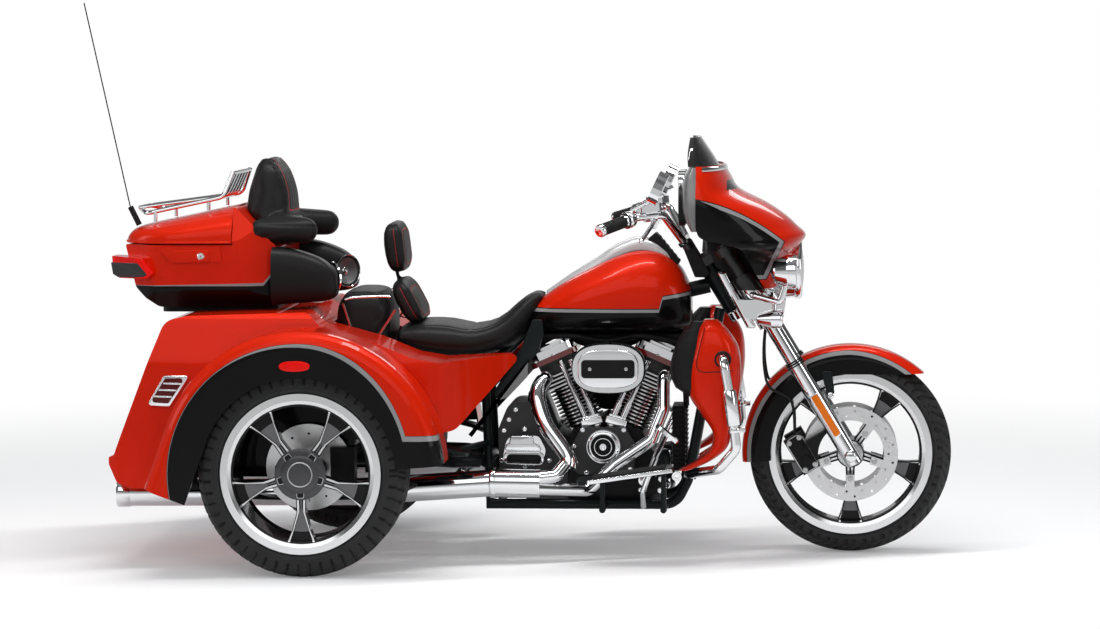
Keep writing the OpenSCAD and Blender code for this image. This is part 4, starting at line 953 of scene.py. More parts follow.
def grown(mesh, name, tree, values, body):
    """Plain mesh of a node tree's result, riding on a body."""
    def setup(holder):
        modifier = holder.modifiers.new("nodes", "NODES")
        modifier.node_group = tree
        for item in tree.interface.items_tree:
            if item.item_type == "SOCKET" and item.in_out == "INPUT" and item.name in values:
                modifier[item.identifier] = values[item.name]
    result = evaluated(mesh, name + "_source", setup)
    result.name = name
    settle(result)
    return seat(result, name, body)


def repeated(name, template, points, material, body, size):
    """A template Shape on points of (place, facing, spin in degrees)."""
    form = bpy.data.meshes.new(name + "_form")
    form.from_pydata(template.verts, [], template.faces)
    holder = bpy.data.objects.new(name + "_template", form)
    bpy.context.scene.collection.objects.link(holder)
    mesh = bpy.data.meshes.new(name + "_points")
    mesh.from_pydata([tuple(p[0]) for p in points], [], [])
    turn = mesh.attributes.new("turn", "FLOAT_VECTOR", "POINT")
    for i, (_, facing, spin) in enumerate(points):
        u, v = frame_along(facing)
        rest = Matrix((u, v, Vector(facing).normalized())).transposed()
        turn.data[i].vector = (rest @ Matrix.Rotation(math.radians(spin), 3, "Z")).to_euler()
    values = {"Template": holder, "Size": size, "Finish": finish(material)}
    piece = grown(mesh, name, repeat_tree(), values, body)
    bpy.data.objects.remove(holder)
    return piece


def stitched(name, paths, material, body, radius):
    """Stitches along paths of points."""
    verts, edges = [], []
    for path in paths:
        base = len(verts)
        verts += [tuple(p) for p in path]
        edges += [(base + i, base + i + 1) for i in range(len(path) - 1)]
    mesh = bpy.data.meshes.new(name + "_path")
    mesh.from_pydata(verts, edges, [])
    values = {"Pitch": sizes().stitch_pitch, "Thread": radius, "Finish": finish(material)}
    return grown(mesh, name, stitch_tree(), values, body)


def bolt():
    """Socket screw standing on its flange, with a head radius of one metre before it is scaled."""
    rows = [(0, 1.25), (0.12, 1.25), (0.16, 1.0), (0.68, 1.0), (0.8, 0.88), (0.8, 0.55), (0.36, 0.5),
            (0.36, 0.0)]
    return Shape().revolve([(height * 1000.0, r * 1000.0) for height, r in rows], (0, 0, 0), UP, 12)


# Stage

CAMERA = {"distance": 11200.0, "yaw": 4.4, "height": 1600.0, "pitch": 4.31, "roll": 0.4, "centre": 715.0,
          "focal_px": 3517.0, "width_px": 1100.0}


def make_camera():
    yaw, pitch, roll = (math.radians(CAMERA[k]) for k in ("yaw", "pitch", "roll"))
    place = at(CAMERA["centre"] + CAMERA["distance"] * math.sin(yaw), -CAMERA["distance"] * math.cos(yaw),
               CAMERA["height"])
    ahead = Vector((-math.sin(yaw) * math.cos(pitch), math.cos(yaw) * math.cos(pitch), -math.sin(pitch)))
    right = Vector((math.cos(yaw), math.sin(yaw), 0))
    up = right.cross(ahead)
    right, up = (right * math.cos(roll) - up * math.sin(roll), right * math.sin(roll) + up * math.cos(roll))
    data = bpy.data.cameras.new("camera")
    data.sensor_fit = "HORIZONTAL"
    data.sensor_width = 36.0
    data.lens = CAMERA["focal_px"] / CAMERA["width_px"] * 36.0
    data.clip_end = 200.0
    camera = bpy.data.objects.new("camera", data)
    bpy.context.scene.collection.objects.link(camera)
    camera.matrix_world = Matrix((right, up, -ahead)).transposed().to_4x4()
    camera.location = place
    bpy.context.scene.camera = camera


GLOSSY_SHARE = 0.6


def shown(tree):
    """Share of the background that a ray sees: all for camera and glass, less for gloss, none for light."""
    path = tree.nodes.new("ShaderNodeLightPath").outputs
    clear = node_in(tree, "ShaderNodeMath", {"operation": "MAXIMUM"}, {
        0: path["Is Camera Ray"], 1: path["Is Transmission Ray"]})
    share = node_in(tree, "ShaderNodeMath", {"operation": "MULTIPLY"}, {
        0: path["Is Glossy Ray"], 1: GLOSSY_SHARE})
    most = node_in(tree, "ShaderNodeMath", {"operation": "MAXIMUM"},
                   {0: clear.outputs[0], 1: share.outputs[0]})
    return most.outputs[0]


FLOOR_REACH = 90.0
FLOOR_FADE = (1.7, 5.5)


def make_floor():
    """Matte floor that fades into the white background away from the trike."""
    far = FLOOR_REACH
    mesh = bpy.data.meshes.new("floor")
    mesh.from_pydata([(-far, -far, 0), (far, -far, 0), (far, far, 0), (-far, far, 0)], [], [(0, 1, 2, 3)])
    floor = bpy.data.objects.new("floor", mesh)
    bpy.context.scene.collection.objects.link(floor)
    material = bpy.data.materials.new("studio_floor")
    material.use_nodes = True
    tree = material.node_tree
    tree.nodes.clear()
    seen = shown(tree)
    matte = node_in(tree, "ShaderNodeBsdfDiffuse", links={0: (0.80, 0.80, 0.80, 1)})
    lift = node_in(tree, "ShaderNodeEmission", links={0: (0.18, 0.18, 0.183, 1), 1: seen})
    lifted = node_in(tree, "ShaderNodeAddShader", links={0: matte.outputs[0], 1: lift.outputs[0]})
    glow = node_in(tree, "ShaderNodeEmission", links={0: (1, 1, 1, 1), 1: seen})
    coords = tree.nodes.new("ShaderNodeTexCoord")
    length = node_in(tree, "ShaderNodeVectorMath", {"operation": "LENGTH"}, {0: coords.outputs["Object"]})
    fade = node_in(tree, "ShaderNodeMapRange", {"interpolation_type": "SMOOTHSTEP"}, {
        0: length.outputs["Value"], 1: FLOOR_FADE[0], 2: FLOOR_FADE[1]})
    mix = node_in(tree, "ShaderNodeMixShader", links={
        0: fade.outputs[0], 1: lifted.outputs[0], 2: glow.outputs[0]})
    node_in(tree, "ShaderNodeOutputMaterial", links={0: mix.outputs[0]})
    mesh.materials.append(material)


SKY_STOPS = [(0.0, 1.0), (0.035, 1.0), (0.13, 0.42), (0.32, 0.16), (0.6, 0.10), (0.9, 0.4)]


def make_world():
    """Sky that reflections see, darker above the horizon, and a weak even light."""
    world = bpy.data.worlds.new("studio")
    bpy.context.scene.world = world
    world.use_nodes = True
    tree = world.node_tree
    tree.nodes.clear()
    share = shown(tree)
    coords = tree.nodes.new("ShaderNodeTexCoord")
    split = node_in(tree, "ShaderNodeSeparateXYZ", links={0: coords.outputs["Generated"]})
    ramp = node_in(tree, "ShaderNodeValToRGB", links={0: split.outputs["Z"]})
    elements = ramp.color_ramp.elements
    while len(elements) < len(SKY_STOPS):
        elements.new(0.5)
    for element, (position, level) in zip(elements, SKY_STOPS):
        element.position = position
        element.color = (level, level, level, 1)
    lit = node_in(tree, "ShaderNodeBackground", links={0: (0.93, 0.96, 1.0, 1), 1: 0.3})
    seen = node_in(tree, "ShaderNodeBackground", links={0: ramp.outputs[0], 1: share})
    gate = node_in(tree, "ShaderNodeMath", {"operation": "GREATER_THAN"}, {0: share, 1: 0.01})
    mix = node_in(tree, "ShaderNodeMixShader",
                  links={0: gate.outputs[0], 1: lit.outputs[0], 2: seen.outputs[0]})
    node_in(tree, "ShaderNodeOutputWorld", links={0: mix.outputs[0]})


LIGHTS = [
    # name, place, aim, width, depth, watts
    ("overhead", (0.2, -0.4, 4.2), (0, 0, 0.6), 4.4, 0.3, 130.0),
    ("near_side", (-0.4, -5.0, 3.6), (0, 0, 0.6), 7.0, 3.0, 100.0),
    ("front", (4.8, -2.2, 2.2), (0.4, 0, 0.7), 1.2, 2.4, 36.0),
    ("rear", (-4.8, -0.8, 2.4), (-0.5, 0, 0.7), 1.2, 2.4, 32.0),
    ("far_side", (0.4, 4.8, 3.0), (0, 0, 0.6), 4.0, 1.0, 40.0),
]


def make_lights():
    for name, place, aim, width, depth, watts in LIGHTS:
        data = bpy.data.lights.new(name, "AREA")
        data.shape = "RECTANGLE"
        data.size = width
        data.size_y = depth
        data.energy = watts
        light = bpy.data.objects.new(name, data)
        bpy.context.scene.collection.objects.link(light)
        light.location = place
        light.rotation_euler = (Vector(aim) - Vector(place)).to_track_quat("-Z", "Y").to_euler()


# Finishes of the CAD nodes

NODE_FINISHES = {
    "frame": "black_steel", "engine_case": "wrinkle_black", "cylinders": "finned",
    "rocker_covers": "rocker",
    "pushrod_tubes": "chrome", "cam_cover": "cam_cover", "air_cleaner": "chrome", "gearbox": "gearbox",
    "primary_cover": "chrome", "exhaust": "chrome", "fuel_tank": "paint_tank",
    "tank_console": "paint_silver",
    "rider_seat": "leather", "rider_backrest": "leather", "passenger_seat": "leather",
    "passenger_backrest": "leather", "top_case": "paint_case", "speaker_pods": "black_plastic",
    "rear_body": "paint_body", "rear_fenders": "paint_rear_fender", "rear_lamps": "red_lens",
    "rear_axle": "black_steel", "swingarm": "black_steel", "rear_calipers": "wrinkle_black",
    "lower_fairings": "paint", "engine_guard": "chrome", "footboards": "black_steel",
    "foot_controls": "chrome",
    "plate_bracket": "black_plastic", "fork": "fork", "lamp_bar": "chrome", "handlebar": "chrome",
    "grips": "soft_rubber", "hand_controls": "chrome", "lower_pods": "black_plastic", "mirrors": "chrome",
    "fairing": "paint_fairing", "inner_fairing": "paint_grey",
    "windshield": "smoked_glass", "headlamp": "chrome", "front_lamps": "chrome",
    "front_fender": "paint_front_fender", "front_calipers": "wrinkle_black", "front_wheel": "front_wheel",
    "front_tyre": "tyre_rubber", "front_discs": "disc_steel", "rear_wheel_right": "rear_wheel",
    "rear_tyre_right": "tyre_rubber", "rear_disc_right": "disc_steel", "rear_wheel_left": "rear_wheel",
    "rear_tyre_left": "tyre_rubber", "rear_disc_left": "disc_steel", "top_case_lid": "paint",
    "luggage_rack": "chrome", "antenna": "black_plastic", "rear_door": "paint",
}


def finish_nodes():
    for node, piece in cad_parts.items():
        piece.data.materials.clear()
        piece.data.materials.append(finish(NODE_FINISHES[node]))


# Tyres


def tyre(name, node, body, centre, outer, bead, width, rim_width, shoulder, groove):
    """Revolved tyre with a tread cut by a rule of angle and side."""
    lip = bead + 17
    outline = rounded([
        (bead + 0.3, -rim_width / 2 + 0.3, 0), (lip + 0.3, -rim_width / 2 + 0.3, 0),
        (lip + 8, -width / 2, 10),
        (outer - shoulder * 0.55, -width / 2, 12), (outer, -width / 2 + shoulder, shoulder),
        (outer, width / 2 - shoulder, shoulder), (outer - shoulder * 0.55, width / 2, 12),
        (lip + 8, width / 2, 10),
        (lip + 0.3, rim_width / 2 - 0.3, 0), (bead + 0.3, rim_width / 2 - 0.3, 0)], 6)
    fine = []
    for i, (r, y) in enumerate(outline[:-1]):
        r2, y2 = outline[i + 1]
        gap = math.hypot(r2 - r, y2 - y)
        step = 3.4 if max(r, r2) > outer - 42 else 9.0
        parts = max(1, int(gap / step))
        fine += [(r + (r2 - r) * k / parts, y + (y2 - y) * k / parts) for k in range(parts)]
    fine.append(outline[-1])
    steps = sizes().tread_steps
    deep = sizes().tread_depth / MM
    rings = []
    for r, y in fine:
        ring = []
        ribs = 0.9 if outer - 66 < r < outer - 62 or outer - 58 < r < outer - 56.5 else 0.0
        for k in range(steps):
            a = 2 * math.pi * k / steps
            cut = deep * groove(a, y) if r > outer - 40 else 0.0
            lean = min(1.0, (outer - r) / 24)
            side = math.copysign(ribs - cut * lean * 0.8, y)
            deep_r = r - cut * (1 - 0.6 * lean)
            ring.append(at(centre[0] + deep_r * math.cos(a), centre[1] + y + side,
                           centre[2] + deep_r * math.sin(a)))
        rings.append(ring)
    shape = Shape().loft(rings + [rings[0]], NO_CAPS)
    piece = shape.build(name, "tyre_rubber", body, "tyre", 40.0)
    # Groove attribute: the rule's value near the tread, which the rubber turns into painted shade.
    mark = piece.data.attributes.new("groove", "FLOAT", "POINT")
    middle = at(*centre)
    for vertex, value in zip(piece.data.vertices, mark.data):
        x, y, z = (vertex.co - middle) / MM
        angle = math.atan2(z, x) % (2 * math.pi) + 1e-4
        value.value = groove(angle, y) if math.hypot(x, z) > outer - 46 else 0.0
    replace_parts(piece, node)


def pulse(value, period, width):
    """1 in a groove of that width, once in each period."""
    return 1.0 if (value % period) < width else 0.0


def front_groove(a, y):
    """Swept grooves, a long and a short one in turn."""
    side = abs(y)
    degrees = math.degrees(a) + (0 if y > 0 else 6.0)
    sweep = degrees - 0.0012 * side * side - 0.05 * side
    long = pulse(sweep, 12.0, 2.2) if side > 9 else 0.0
    short = pulse(sweep + 6.4, 12.0, 1.6) if side > 32 else 0.0
    return max(long, short)


def rear_groove(a, y):
    """Four grooves round the tyre, with blocks at the shoulders and slits between."""
    side = abs(y)
    degrees = math.degrees(a) + (0 if y > 0 else 3.5)
    ribs = 1.0 if 17 < side < 25 or 52 < side < 60 else 0.0
    block = pulse(degrees - 0.05 * side, 7.0, 1.35) if side > 64 else 0.0
    slit = 0.6 * pulse(degrees + 0.08 * side, 7.0, 0.75) if 26 < side < 50 else 0.0
    return max(ribs, block, slit)


def make_tyres():
    tyre("front_tread", "front_tyre", "front_wheel_set", (WHEELBASE, 0, FRONT_R), 319, 241, 130, 89, 52,
         front_groove)
    for side, name in ((-1, "right"), (1, "left")):
        tyre("rear_tread_" + name, "rear_tyre_" + name, "rear_wheel_set_" + name, (0, side * 545.0, REAR_R),
             318, 229,
             215, 178, 34, rear_groove)


# Painted shells, from the same rows as the solids

FAIRING_ROWS = [
    (848, -230, -268, 150), (900, -192, -298, 178), (945, -176, -322, 215), (985, -154, -352, 318),
    (1011, -140, -452, 346), (1040, -168, -475, 356), (1069, -199, -477, 361), (1110, -259, -477, 362),
    (1156, -348, -477, 354), (1200, -377, -476, 338), (1236, -397, -477, 318)]
TANK_ROWS = [
    (660, 92, 788, 708), (740, 130, 848, 702), (850, 156, 910, 700), (980, 168, 964, 700),
    (1070, 162, 958, 701),
    (1135, 134, 908, 706), (1168, 92, 846, 716)]
CONSOLE_ROWS = [
    (706, 26, 834), (790, 42, 892), (876, 50, 945), (930, 53, 981), (1010, 54, 1005), (1090, 46, 968),
    (1136, 34, 904)]
LOWER_ROWS = [
    (290, -535, -500, 215, 300), (322, -478, -432, 215, 332), (362, -436, -384, 213, 356),
    (412, -428, -370, 210, 370), (470, -464, -358, 205, 380), (530, -502, -346, 200, 386),
    (604, -510, -339, 205, 388), (680, -490, -348, 225, 386), (738, -470, -384, 255, 368),
    (764, -452, -410, 280, 335)]
GLASS_ROWS = [(1232, -412, -500, 232), (1262, -430, -502, 214), (1292, -450, -500, 184),
              (1322, -470, -496, 138)]


def levels(rows, n):
    return [rows[0][0] + (rows[-1][0] - rows[0][0]) * i / n for i in range(n + 1)]


def wing(z, inset, a):
    nose, rear, half = (hermite(FAIRING_ROWS, z, c) for c in (1, 2, 3))
    nose, half = nose - inset, half - inset
    return (WHEELBASE + rear + (nose - rear) * spow(math.cos(a), 2.1), half * spow(math.sin(a), 2.2), z)


def half_turn(n):
    return [math.pi * (i / n - 0.5) for i in range(n + 1)]


def make_fairing():
    angles = half_turn(110)
    rings = []
    for z in levels(FAIRING_ROWS, 84):
        rings.append([at(*wing(z, 0, a)) for a in angles] + [at(*wing(z, 4, a)) for a in reversed(angles)])
    shape = Shape().shell(rings)
    lamp = at(WHEELBASE - 149, 0, FRONT_R + 582)
    keep = []
    for i, face in enumerate(shape.faces):
        c = sum((Vector(shape.verts[k]) for k in face), Vector()) / len(face)
        if c.x < lamp.x - 0.16 or math.hypot(c.y, c.z - lamp.z) > 0.0935:
            keep.append(i)
    shape.faces = [shape.faces[i] for i in keep]
    shape.slots = [shape.slots[i] for i in keep]
    piece = shape.build("fairing_shell", "paint_fairing", "steering", "paint_red", 50.0)
    bm = bmesh.new()
    bm.from_mesh(piece.data)
    bmesh.ops.bridge_loops(bm, edges=[edge for edge in bm.edges if len(edge.link_faces) == 1])
    bm.to_mesh(piece.data)
    bm.free()
    settle(piece.data, 50.0)
    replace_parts(piece, "fairing")


def make_dash():
    angles = half_turn(96)
    bulge = [(1036, 20), (1080, 44), (1140, 52), (1195, 46), (1232, 24)]
    rings = []
    for i in range(41):
        z = 1036 + 196 * i / 40
        front = []
        back = []
        for a in angles:
            p = wing(z, 5.5, a)
            front.append(at(min(p[0], WHEELBASE - 477 + 72), p[1], z))
            back.append(at(WHEELBASE - 479 - hermite(bulge, z, 1) * max(math.cos(a), 0) ** 0.4, p[1], z))
        rings.append(front + back[::-1])
    shape = Shape().shell(rings)
    post = [steer(12, 0, 770.3), steer(12, 0, 784)]
    shape.tube(post, 0.020, 24).tube([steer(12, 0, 779), at(WHEELBASE - 448, 0, 1050)], 0.014, 20)
    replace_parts(shape.build("dash_shell", "paint_grey", "steering", "silver", 50.0), "inner_fairing")


def make_windshield():
    angles = half_turn(64)
    rings = []
    for i in range(25):
        z = 1232.3 + (1322 - 1232.3) * i / 24
        front, rear, half = (hermite(GLASS_ROWS, z, c) for c in (1, 2, 3))
        outer = [at(WHEELBASE + rear + (front - rear) * math.cos(a), half * math.sin(a), z) for a in angles]
        inner = [at(WHEELBASE + rear - 4 + (front - rear) * math.cos(a), (half - 3) * math.sin(a),
                    z) for a in angles]
        rings.append(outer + inner[::-1])
    shape = Shape().shell(rings)
    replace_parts(shape.build("screen", "smoked_glass", "steering", "smoke", 50.0), "windshield")


def ring_x(x, half, top, bottom, share, e, n):
    mid = bottom + share * (top - bottom)
    ring = []
    for a in turns(n):
        s = spow(math.sin(a), e)
        ring.append(at(x, half * spow(math.cos(a), e), mid + (top - mid if s > 0 else mid - bottom) * s))
    return ring


def make_tank():
    rings = [ring_x(x, hermite(TANK_ROWS, x, 1), hermite(TANK_ROWS, x, 2), hermite(TANK_ROWS, x, 3), 0.42,
                    2.5, 96)
             for x in levels(TANK_ROWS, 60)]
    shape = Shape().loft(rings)
    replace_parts(shape.build("tank_shell", "paint_tank", "chassis", "paint_red", 60.0), "fuel_tank")
    rings = [ring_x(x, hermite(CONSOLE_ROWS, x, 1), hermite(CONSOLE_ROWS, x, 2),
                    hermite(CONSOLE_ROWS, x, 2) - 60, 0.5,
                    3, 64) for x in levels(CONSOLE_ROWS, 48)]
    shape = Shape().loft(rings)
    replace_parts(shape.build("console_shell", "paint_silver", "chassis", "silver", 60.0), "tank_console")


def make_lower_fairings():
    shape = Shape()
    rings = []
    for z in levels(LOWER_ROWS, 60):
        rear, front, inner, outer = (hermite(LOWER_ROWS, z, c) for c in (1, 2, 3, 4))
        ring = []
        for a in turns(72):
            ring.append(at(WHEELBASE + (rear + front) / 2 + (front - rear) / 2 * spow(math.cos(a), 2.6),
                           -(inner + outer) / 2 + (inner - outer) / 2 * spow(math.sin(a), 2.6), z))
        rings.append(ring)
    shape.loft(rings)
    piece = shape.build("lower_shells", "paint", "chassis", "paint_red", 60.0, mirror=True)
    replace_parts(piece, "lower_fairings")


def cut_by(mesh, tool, name):
    """Mesh less a closed tool mesh."""
    blade = bpy.data.objects.new("blade", tool)
    bpy.context.scene.collection.objects.link(blade)

    def setup(holder):
        cut = holder.modifiers.new("cut", "BOOLEAN")
        cut.operation = "DIFFERENCE"
        cut.solver = "EXACT"
        cut.object = blade
    result = evaluated(mesh, name, setup)
    bpy.data.objects.remove(blade)
    return result


def plain_mesh(shape, name):
    mesh = bpy.data.meshes.new(name)
    mesh.from_pydata(shape.verts, [], shape.faces)
    settle(mesh)
    return mesh


def pod_ring(x, side):
    t = (x + 136) / 204
    near = max(0.0, (x - 6) / 62)
    shrink = max(0.0, 1 - near ** 2.6) ** (1 / 2.6)
    half, top, low = 66 - 14 * t, 990 - 66 * t * t, 808 + 12 * t
    mid = (top + low) / 2 - 8 * (1 - shrink)
    tall = (top - low) / 2 * (0.30 + 0.70 * shrink)
    wide = half * (0.42 + 0.58 * shrink)
    return [at(x, side * (264 - 16 * t) + wide * spow(math.cos(a), 3), mid + tall * spow(math.sin(a), 3))
            for a in turns(72)]


def make_pods():
    """Black pods with a rounded nose, each with a speaker that faces the passenger."""
    shells = Shape()
    speakers = Shape()
    for side in (-1, 1):
        stops = [-133 + 139 * i / 10 for i in range(10)]
        stops += [6 + 61.5 * math.sin(math.pi / 2 * i / 14) for i in range(15)]
        pod = plain_mesh(Shape().loft([pod_ring(x, side) for x in stops]), "pod")
        axis = Vector((math.cos(math.radians(40)), -side * math.sin(math.radians(40)), 0))
        centre = at(40, side * 190, 885)
        tool = plain_mesh(Shape().revolve([(-16, 0), (-16, 50), (-2, 54), (90, 54), (90, 0)], centre, axis,
                                          64), "tool")
        pod = cut_by(pod, tool, "pod")
        shells.add([v.co for v in pod.vertices], [f.vertices for f in pod.polygons])
        speakers.revolve([(-15.6, 12), (-2, 40), (0.6, 43), (-1, 43.5), (-15.8, 40)], centre, axis, 56)
        speakers.revolve([(-15.5, 13), (-11, 12.5), (-8, 9), (-6.5, 0)], centre, axis, 32, slot=1)
        speakers.revolve([(-2.4, 42.4), (1.6, 44), (2.6, 47), (1.0, 50), (-2.4, 50.4)], centre, axis, 56,
                         slot=2)
        speakers.revolve([(-4, 49.8), (3.2, 50.6), (4.4, 52), (3.4, 53.6), (-2, 53.6)], centre, axis, 56,
                         slot=1)
    piece = shells.build("pod_shells", "black_plastic", "chassis", "black_plastic", 40.0)
    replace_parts(piece, "speaker_pods")
    speakers.build("pod_speakers", ["speaker_cone", "chrome", "soft_rubber"], "chassis", "silver")


def make_front_fender():
    """Fender whose skirt ends level ahead of the fork, with its mounts and the brake hoses."""
    whole = copy_of("front_fender", "fender_whole")
    edge = rounded([(-48, 0, 2), (420, 0, 2), (420, 252, 2), (-48, 252, 34)], 8)
    tool = Shape()
    tool.prism(edge, at(WHEELBASE, 130, FRONT_R), AHEAD, UP, 260)
    mesh = cut_by(whole, plain_mesh(tool, "fender_tool"), "front_fender_shell")
    mesh.materials.clear()
    mesh.materials.append(finish("paint_front_fender"))
    settle(mesh, 32.0)
    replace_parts(seat(mesh, "front_fender_shell", "steering"), "front_fender")
    rows = [(-92, 262, 6), (-58, 262, 6), (-50, 196, 10), (-56, 174, 10), (-72, 178, 10)]
    rows = [(WHEELBASE + x, FRONT_R + z, r) for x, z, r in rows]
    plates("fender_mounts", rows, 80.4, 7, 2.0, "black_steel", "steering", "frame_black")
    cap = Shape()
    hose = Shape()
    for side in (-1, 1):
        spot = at(WHEELBASE - 62, side * 87.2, FRONT_R + 186)
        cap.revolve([(0, 11), (3, 11), (4.5, 9.5), (5, 6), (4.2, 5), (4.2, 0)], spot, (0, side, 0), 32)
        path = [(-248, 92, 500), (-262, 96, 430), (-272, 100, 350), (-270, 101, 268), (-252, 100, 212),
                (-186, 96, 168)]
        line = [at(WHEELBASE + x, side * y, FRONT_R + z) for x, y, z in path] + [steer(-46, side * 84, 139)]
        hose.tube(smooth_path(line, 8), 0.0042, 12)
    cap.build("fender_caps", "chrome", "steering", "chrome")
    hose.build("brake_hoses", "soft_rubber", "steering", "grip_rubber")


LID_ROWS = [
    (-616, 150, 1006), (-610, 186, 1026), (-598, 214, 1042), (-578, 238, 1051), (-540, 268, 1060),
    (-490, 291, 1070),
    (-440, 299, 1080), (-350, 300, 1099), (-262, 300, 1117)]


def lid_section(x, inset):
    half, top = hermite(LID_ROWS, x, 1) - inset, hermite(LID_ROWS, x, 2) - inset
    pts = []
    for k in range(61):
        a = math.pi * k / 60
        pts.append(at(x, half * spow(math.cos(a), 3.3), 1003 + (top - 1003) * spow(math.sin(a), 3.0)))
    return pts


def make_lid():
    """Crowned lid with a lip along the seam."""
    shape = Shape()
    rings = []
    stops = [-616 + 176 * (i / 18) ** 1.6 for i in range(19)] + [-440 + 178 * i / 12 for i in range(1, 13)]
    for x in stops:
        rings.append(lid_section(x, 0) + lid_section(x + 1.5, 5)[::-1])
    shape.shell(rings)
    shape.loft([lid_section(-264, 0.2), lid_section(-259, 0.2)])
    edge = [(x, hermite(LID_ROWS, x, 1)) for x in stops]
    around = [at(x + 1, -h - 0.5, 1005) for x, h in reversed(edge)]
    around += [at(x + 1, h + 0.5, 1005) for x, h in edge]
    lip = [(-0.55, -0.75), (0.55, -0.75), (0.95, -0.2), (0.95, 0.35), (0.5, 0.8), (-0.5, 0.8)]
    shape.tube(around, 0.0048, section=lip)
    piece = shape.build("lid_shell", "paint", "case_lid", "paint_red", 46.0)
    hinge = part_near("top_case_lid", 0.3025)
    hinge.materials.append(finish("paint"))
    settle(hinge)
    knuckles = seat(hinge, "lid_knuckles", "case_lid")
    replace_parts(piece, "top_case_lid")
    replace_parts(knuckles, "top_case_lid")


def part_near(node, reach):
    """The part of a node's mesh that lies farther left than the reach."""
    mesh = copy_of(node, node + "_part")
    bm = bmesh.new()
    bm.from_mesh(mesh)
    cut = bmesh.ops.bisect_plane(bm, geom=bm.verts[:] + bm.edges[:] + bm.faces[:], plane_co=(0, reach, 0),
                                 plane_no=LEFT, clear_inner=True)
    bmesh.ops.holes_fill(bm, edges=[e for e in cut["geom_cut"] if isinstance(e, bmesh.types.BMEdge)])
    bm.to_mesh(mesh)
    bm.free()
    return mesh


# Upholstery


def loose_parts(mesh):
    """Vertex sets of a mesh's separate solids, the largest first."""
    parent = list(range(len(mesh.vertices)))

    def root(i):
        while parent[i] != i:
            parent[i] = parent[parent[i]]
            i = parent[i]
        return i

    for edge in mesh.edges:
        parent[root(edge.vertices[0])] = root(edge.vertices[1])
    groups = {}
    for i in range(len(parent)):
        groups.setdefault(root(i), []).append(i)
    return sorted(groups.values(), key=len, reverse=True)


def part_of(mesh, keep, name):
    """Mesh of the faces whose vertices are all kept."""
    chosen = set(keep)
    index = {v: i for i, v in enumerate(keep)}
    out = bpy.data.meshes.new(name)
    out.from_pydata([mesh.vertices[v].co for v in keep], [],
                    [[index[v] for v in f.vertices] for f in mesh.polygons if f.vertices[0] in chosen])
    out.update()
    return out


def points_of(mesh):
    out = np.empty(len(mesh.vertices) * 3)
    mesh.vertices.foreach_get("co", out)
    return out.reshape(-1, 3)


def set_points(mesh, points):
    mesh.vertices.foreach_set("co", np.ascontiguousarray(points).ravel())
    mesh.update()


def normals_of(mesh):
    out = np.empty(len(mesh.vertices) * 3)
    mesh.vertex_normals.foreach_get("vector", out)
    return out.reshape(-1, 3)


def evaluated(mesh, name, setup):
    """Mesh after the modifiers that setup adds to an object that holds it."""
    holder = bpy.data.objects.new(name, mesh)
    bpy.context.scene.collection.objects.link(holder)
    setup(holder)
    bpy.context.view_layer.update()
    result = bpy.data.meshes.new_from_object(holder.evaluated_get(bpy.context.evaluated_depsgraph_get()))
    bpy.data.objects.remove(holder)
    return result


def remeshed(mesh, size):
    """Even mesh of voxels, smoothed."""
    def setup(holder):
        voxels = holder.modifiers.new("voxels", "REMESH")
        voxels.mode = "VOXEL"
        voxels.voxel_size = size
        soften = holder.modifiers.new("soften", "SMOOTH")
        soften.factor = 0.5
        soften.iterations = 6
    return evaluated(mesh, "remesh", setup)


def inflated(mesh, limit, held):
    """Cloth under pressure, kept within a limit of its start, with held points pinned."""
    start = points_of(mesh)
    holder = bpy.data.objects.new("inflate", mesh)
    bpy.context.scene.collection.objects.link(holder)
    group = holder.vertex_groups.new(name="held")
    for i in np.nonzero(held > 0.02)[0]:
        group.add([int(i)], float(held[i]), "REPLACE")
    cloth = holder.modifiers.new("cloth", "CLOTH")
    cloth.settings.use_pressure = True
    cloth.settings.uniform_pressure_force = 4.0
    cloth.settings.quality = 5
    cloth.settings.vertex_group_mass = "held"
    cloth.settings.effector_weights.gravity = 0.0
    scene = bpy.context.scene
    for number in range(1, 21):
        scene.frame_set(number)
    result = bpy.data.meshes.new_from_object(holder.evaluated_get(bpy.context.evaluated_depsgraph_get()))
    bpy.data.objects.remove(holder)
    scene.frame_set(1)
    move = points_of(result) - start
    far = np.linalg.norm(move, axis=1, keepdims=True)
    set_points(result, start + move * np.minimum(1.0, limit / np.maximum(far, 1e-9)))
    return result


def near_path(points, path, reach):
    """Closeness of points to a path, from 1 on it down to 0 at the reach."""
    best = np.full(len(points), 1e9)
    for a, b in zip(path[:-1], path[1:]):
        a, b = np.array(a), np.array(b)
        d = b - a
        t = np.clip((points - a) @ d / max(d @ d, 1e-12), 0, 1)
        best = np.minimum(best, np.linalg.norm(points - (a + t[:, None] * d), axis=1))
    return np.clip(1 - best / reach, 0, 1)


SEAM_DEPTH = 0.0035
SEAM_HOLD = 0.010
SEAM_REACH = 0.011
START_INSIDE = 0.45


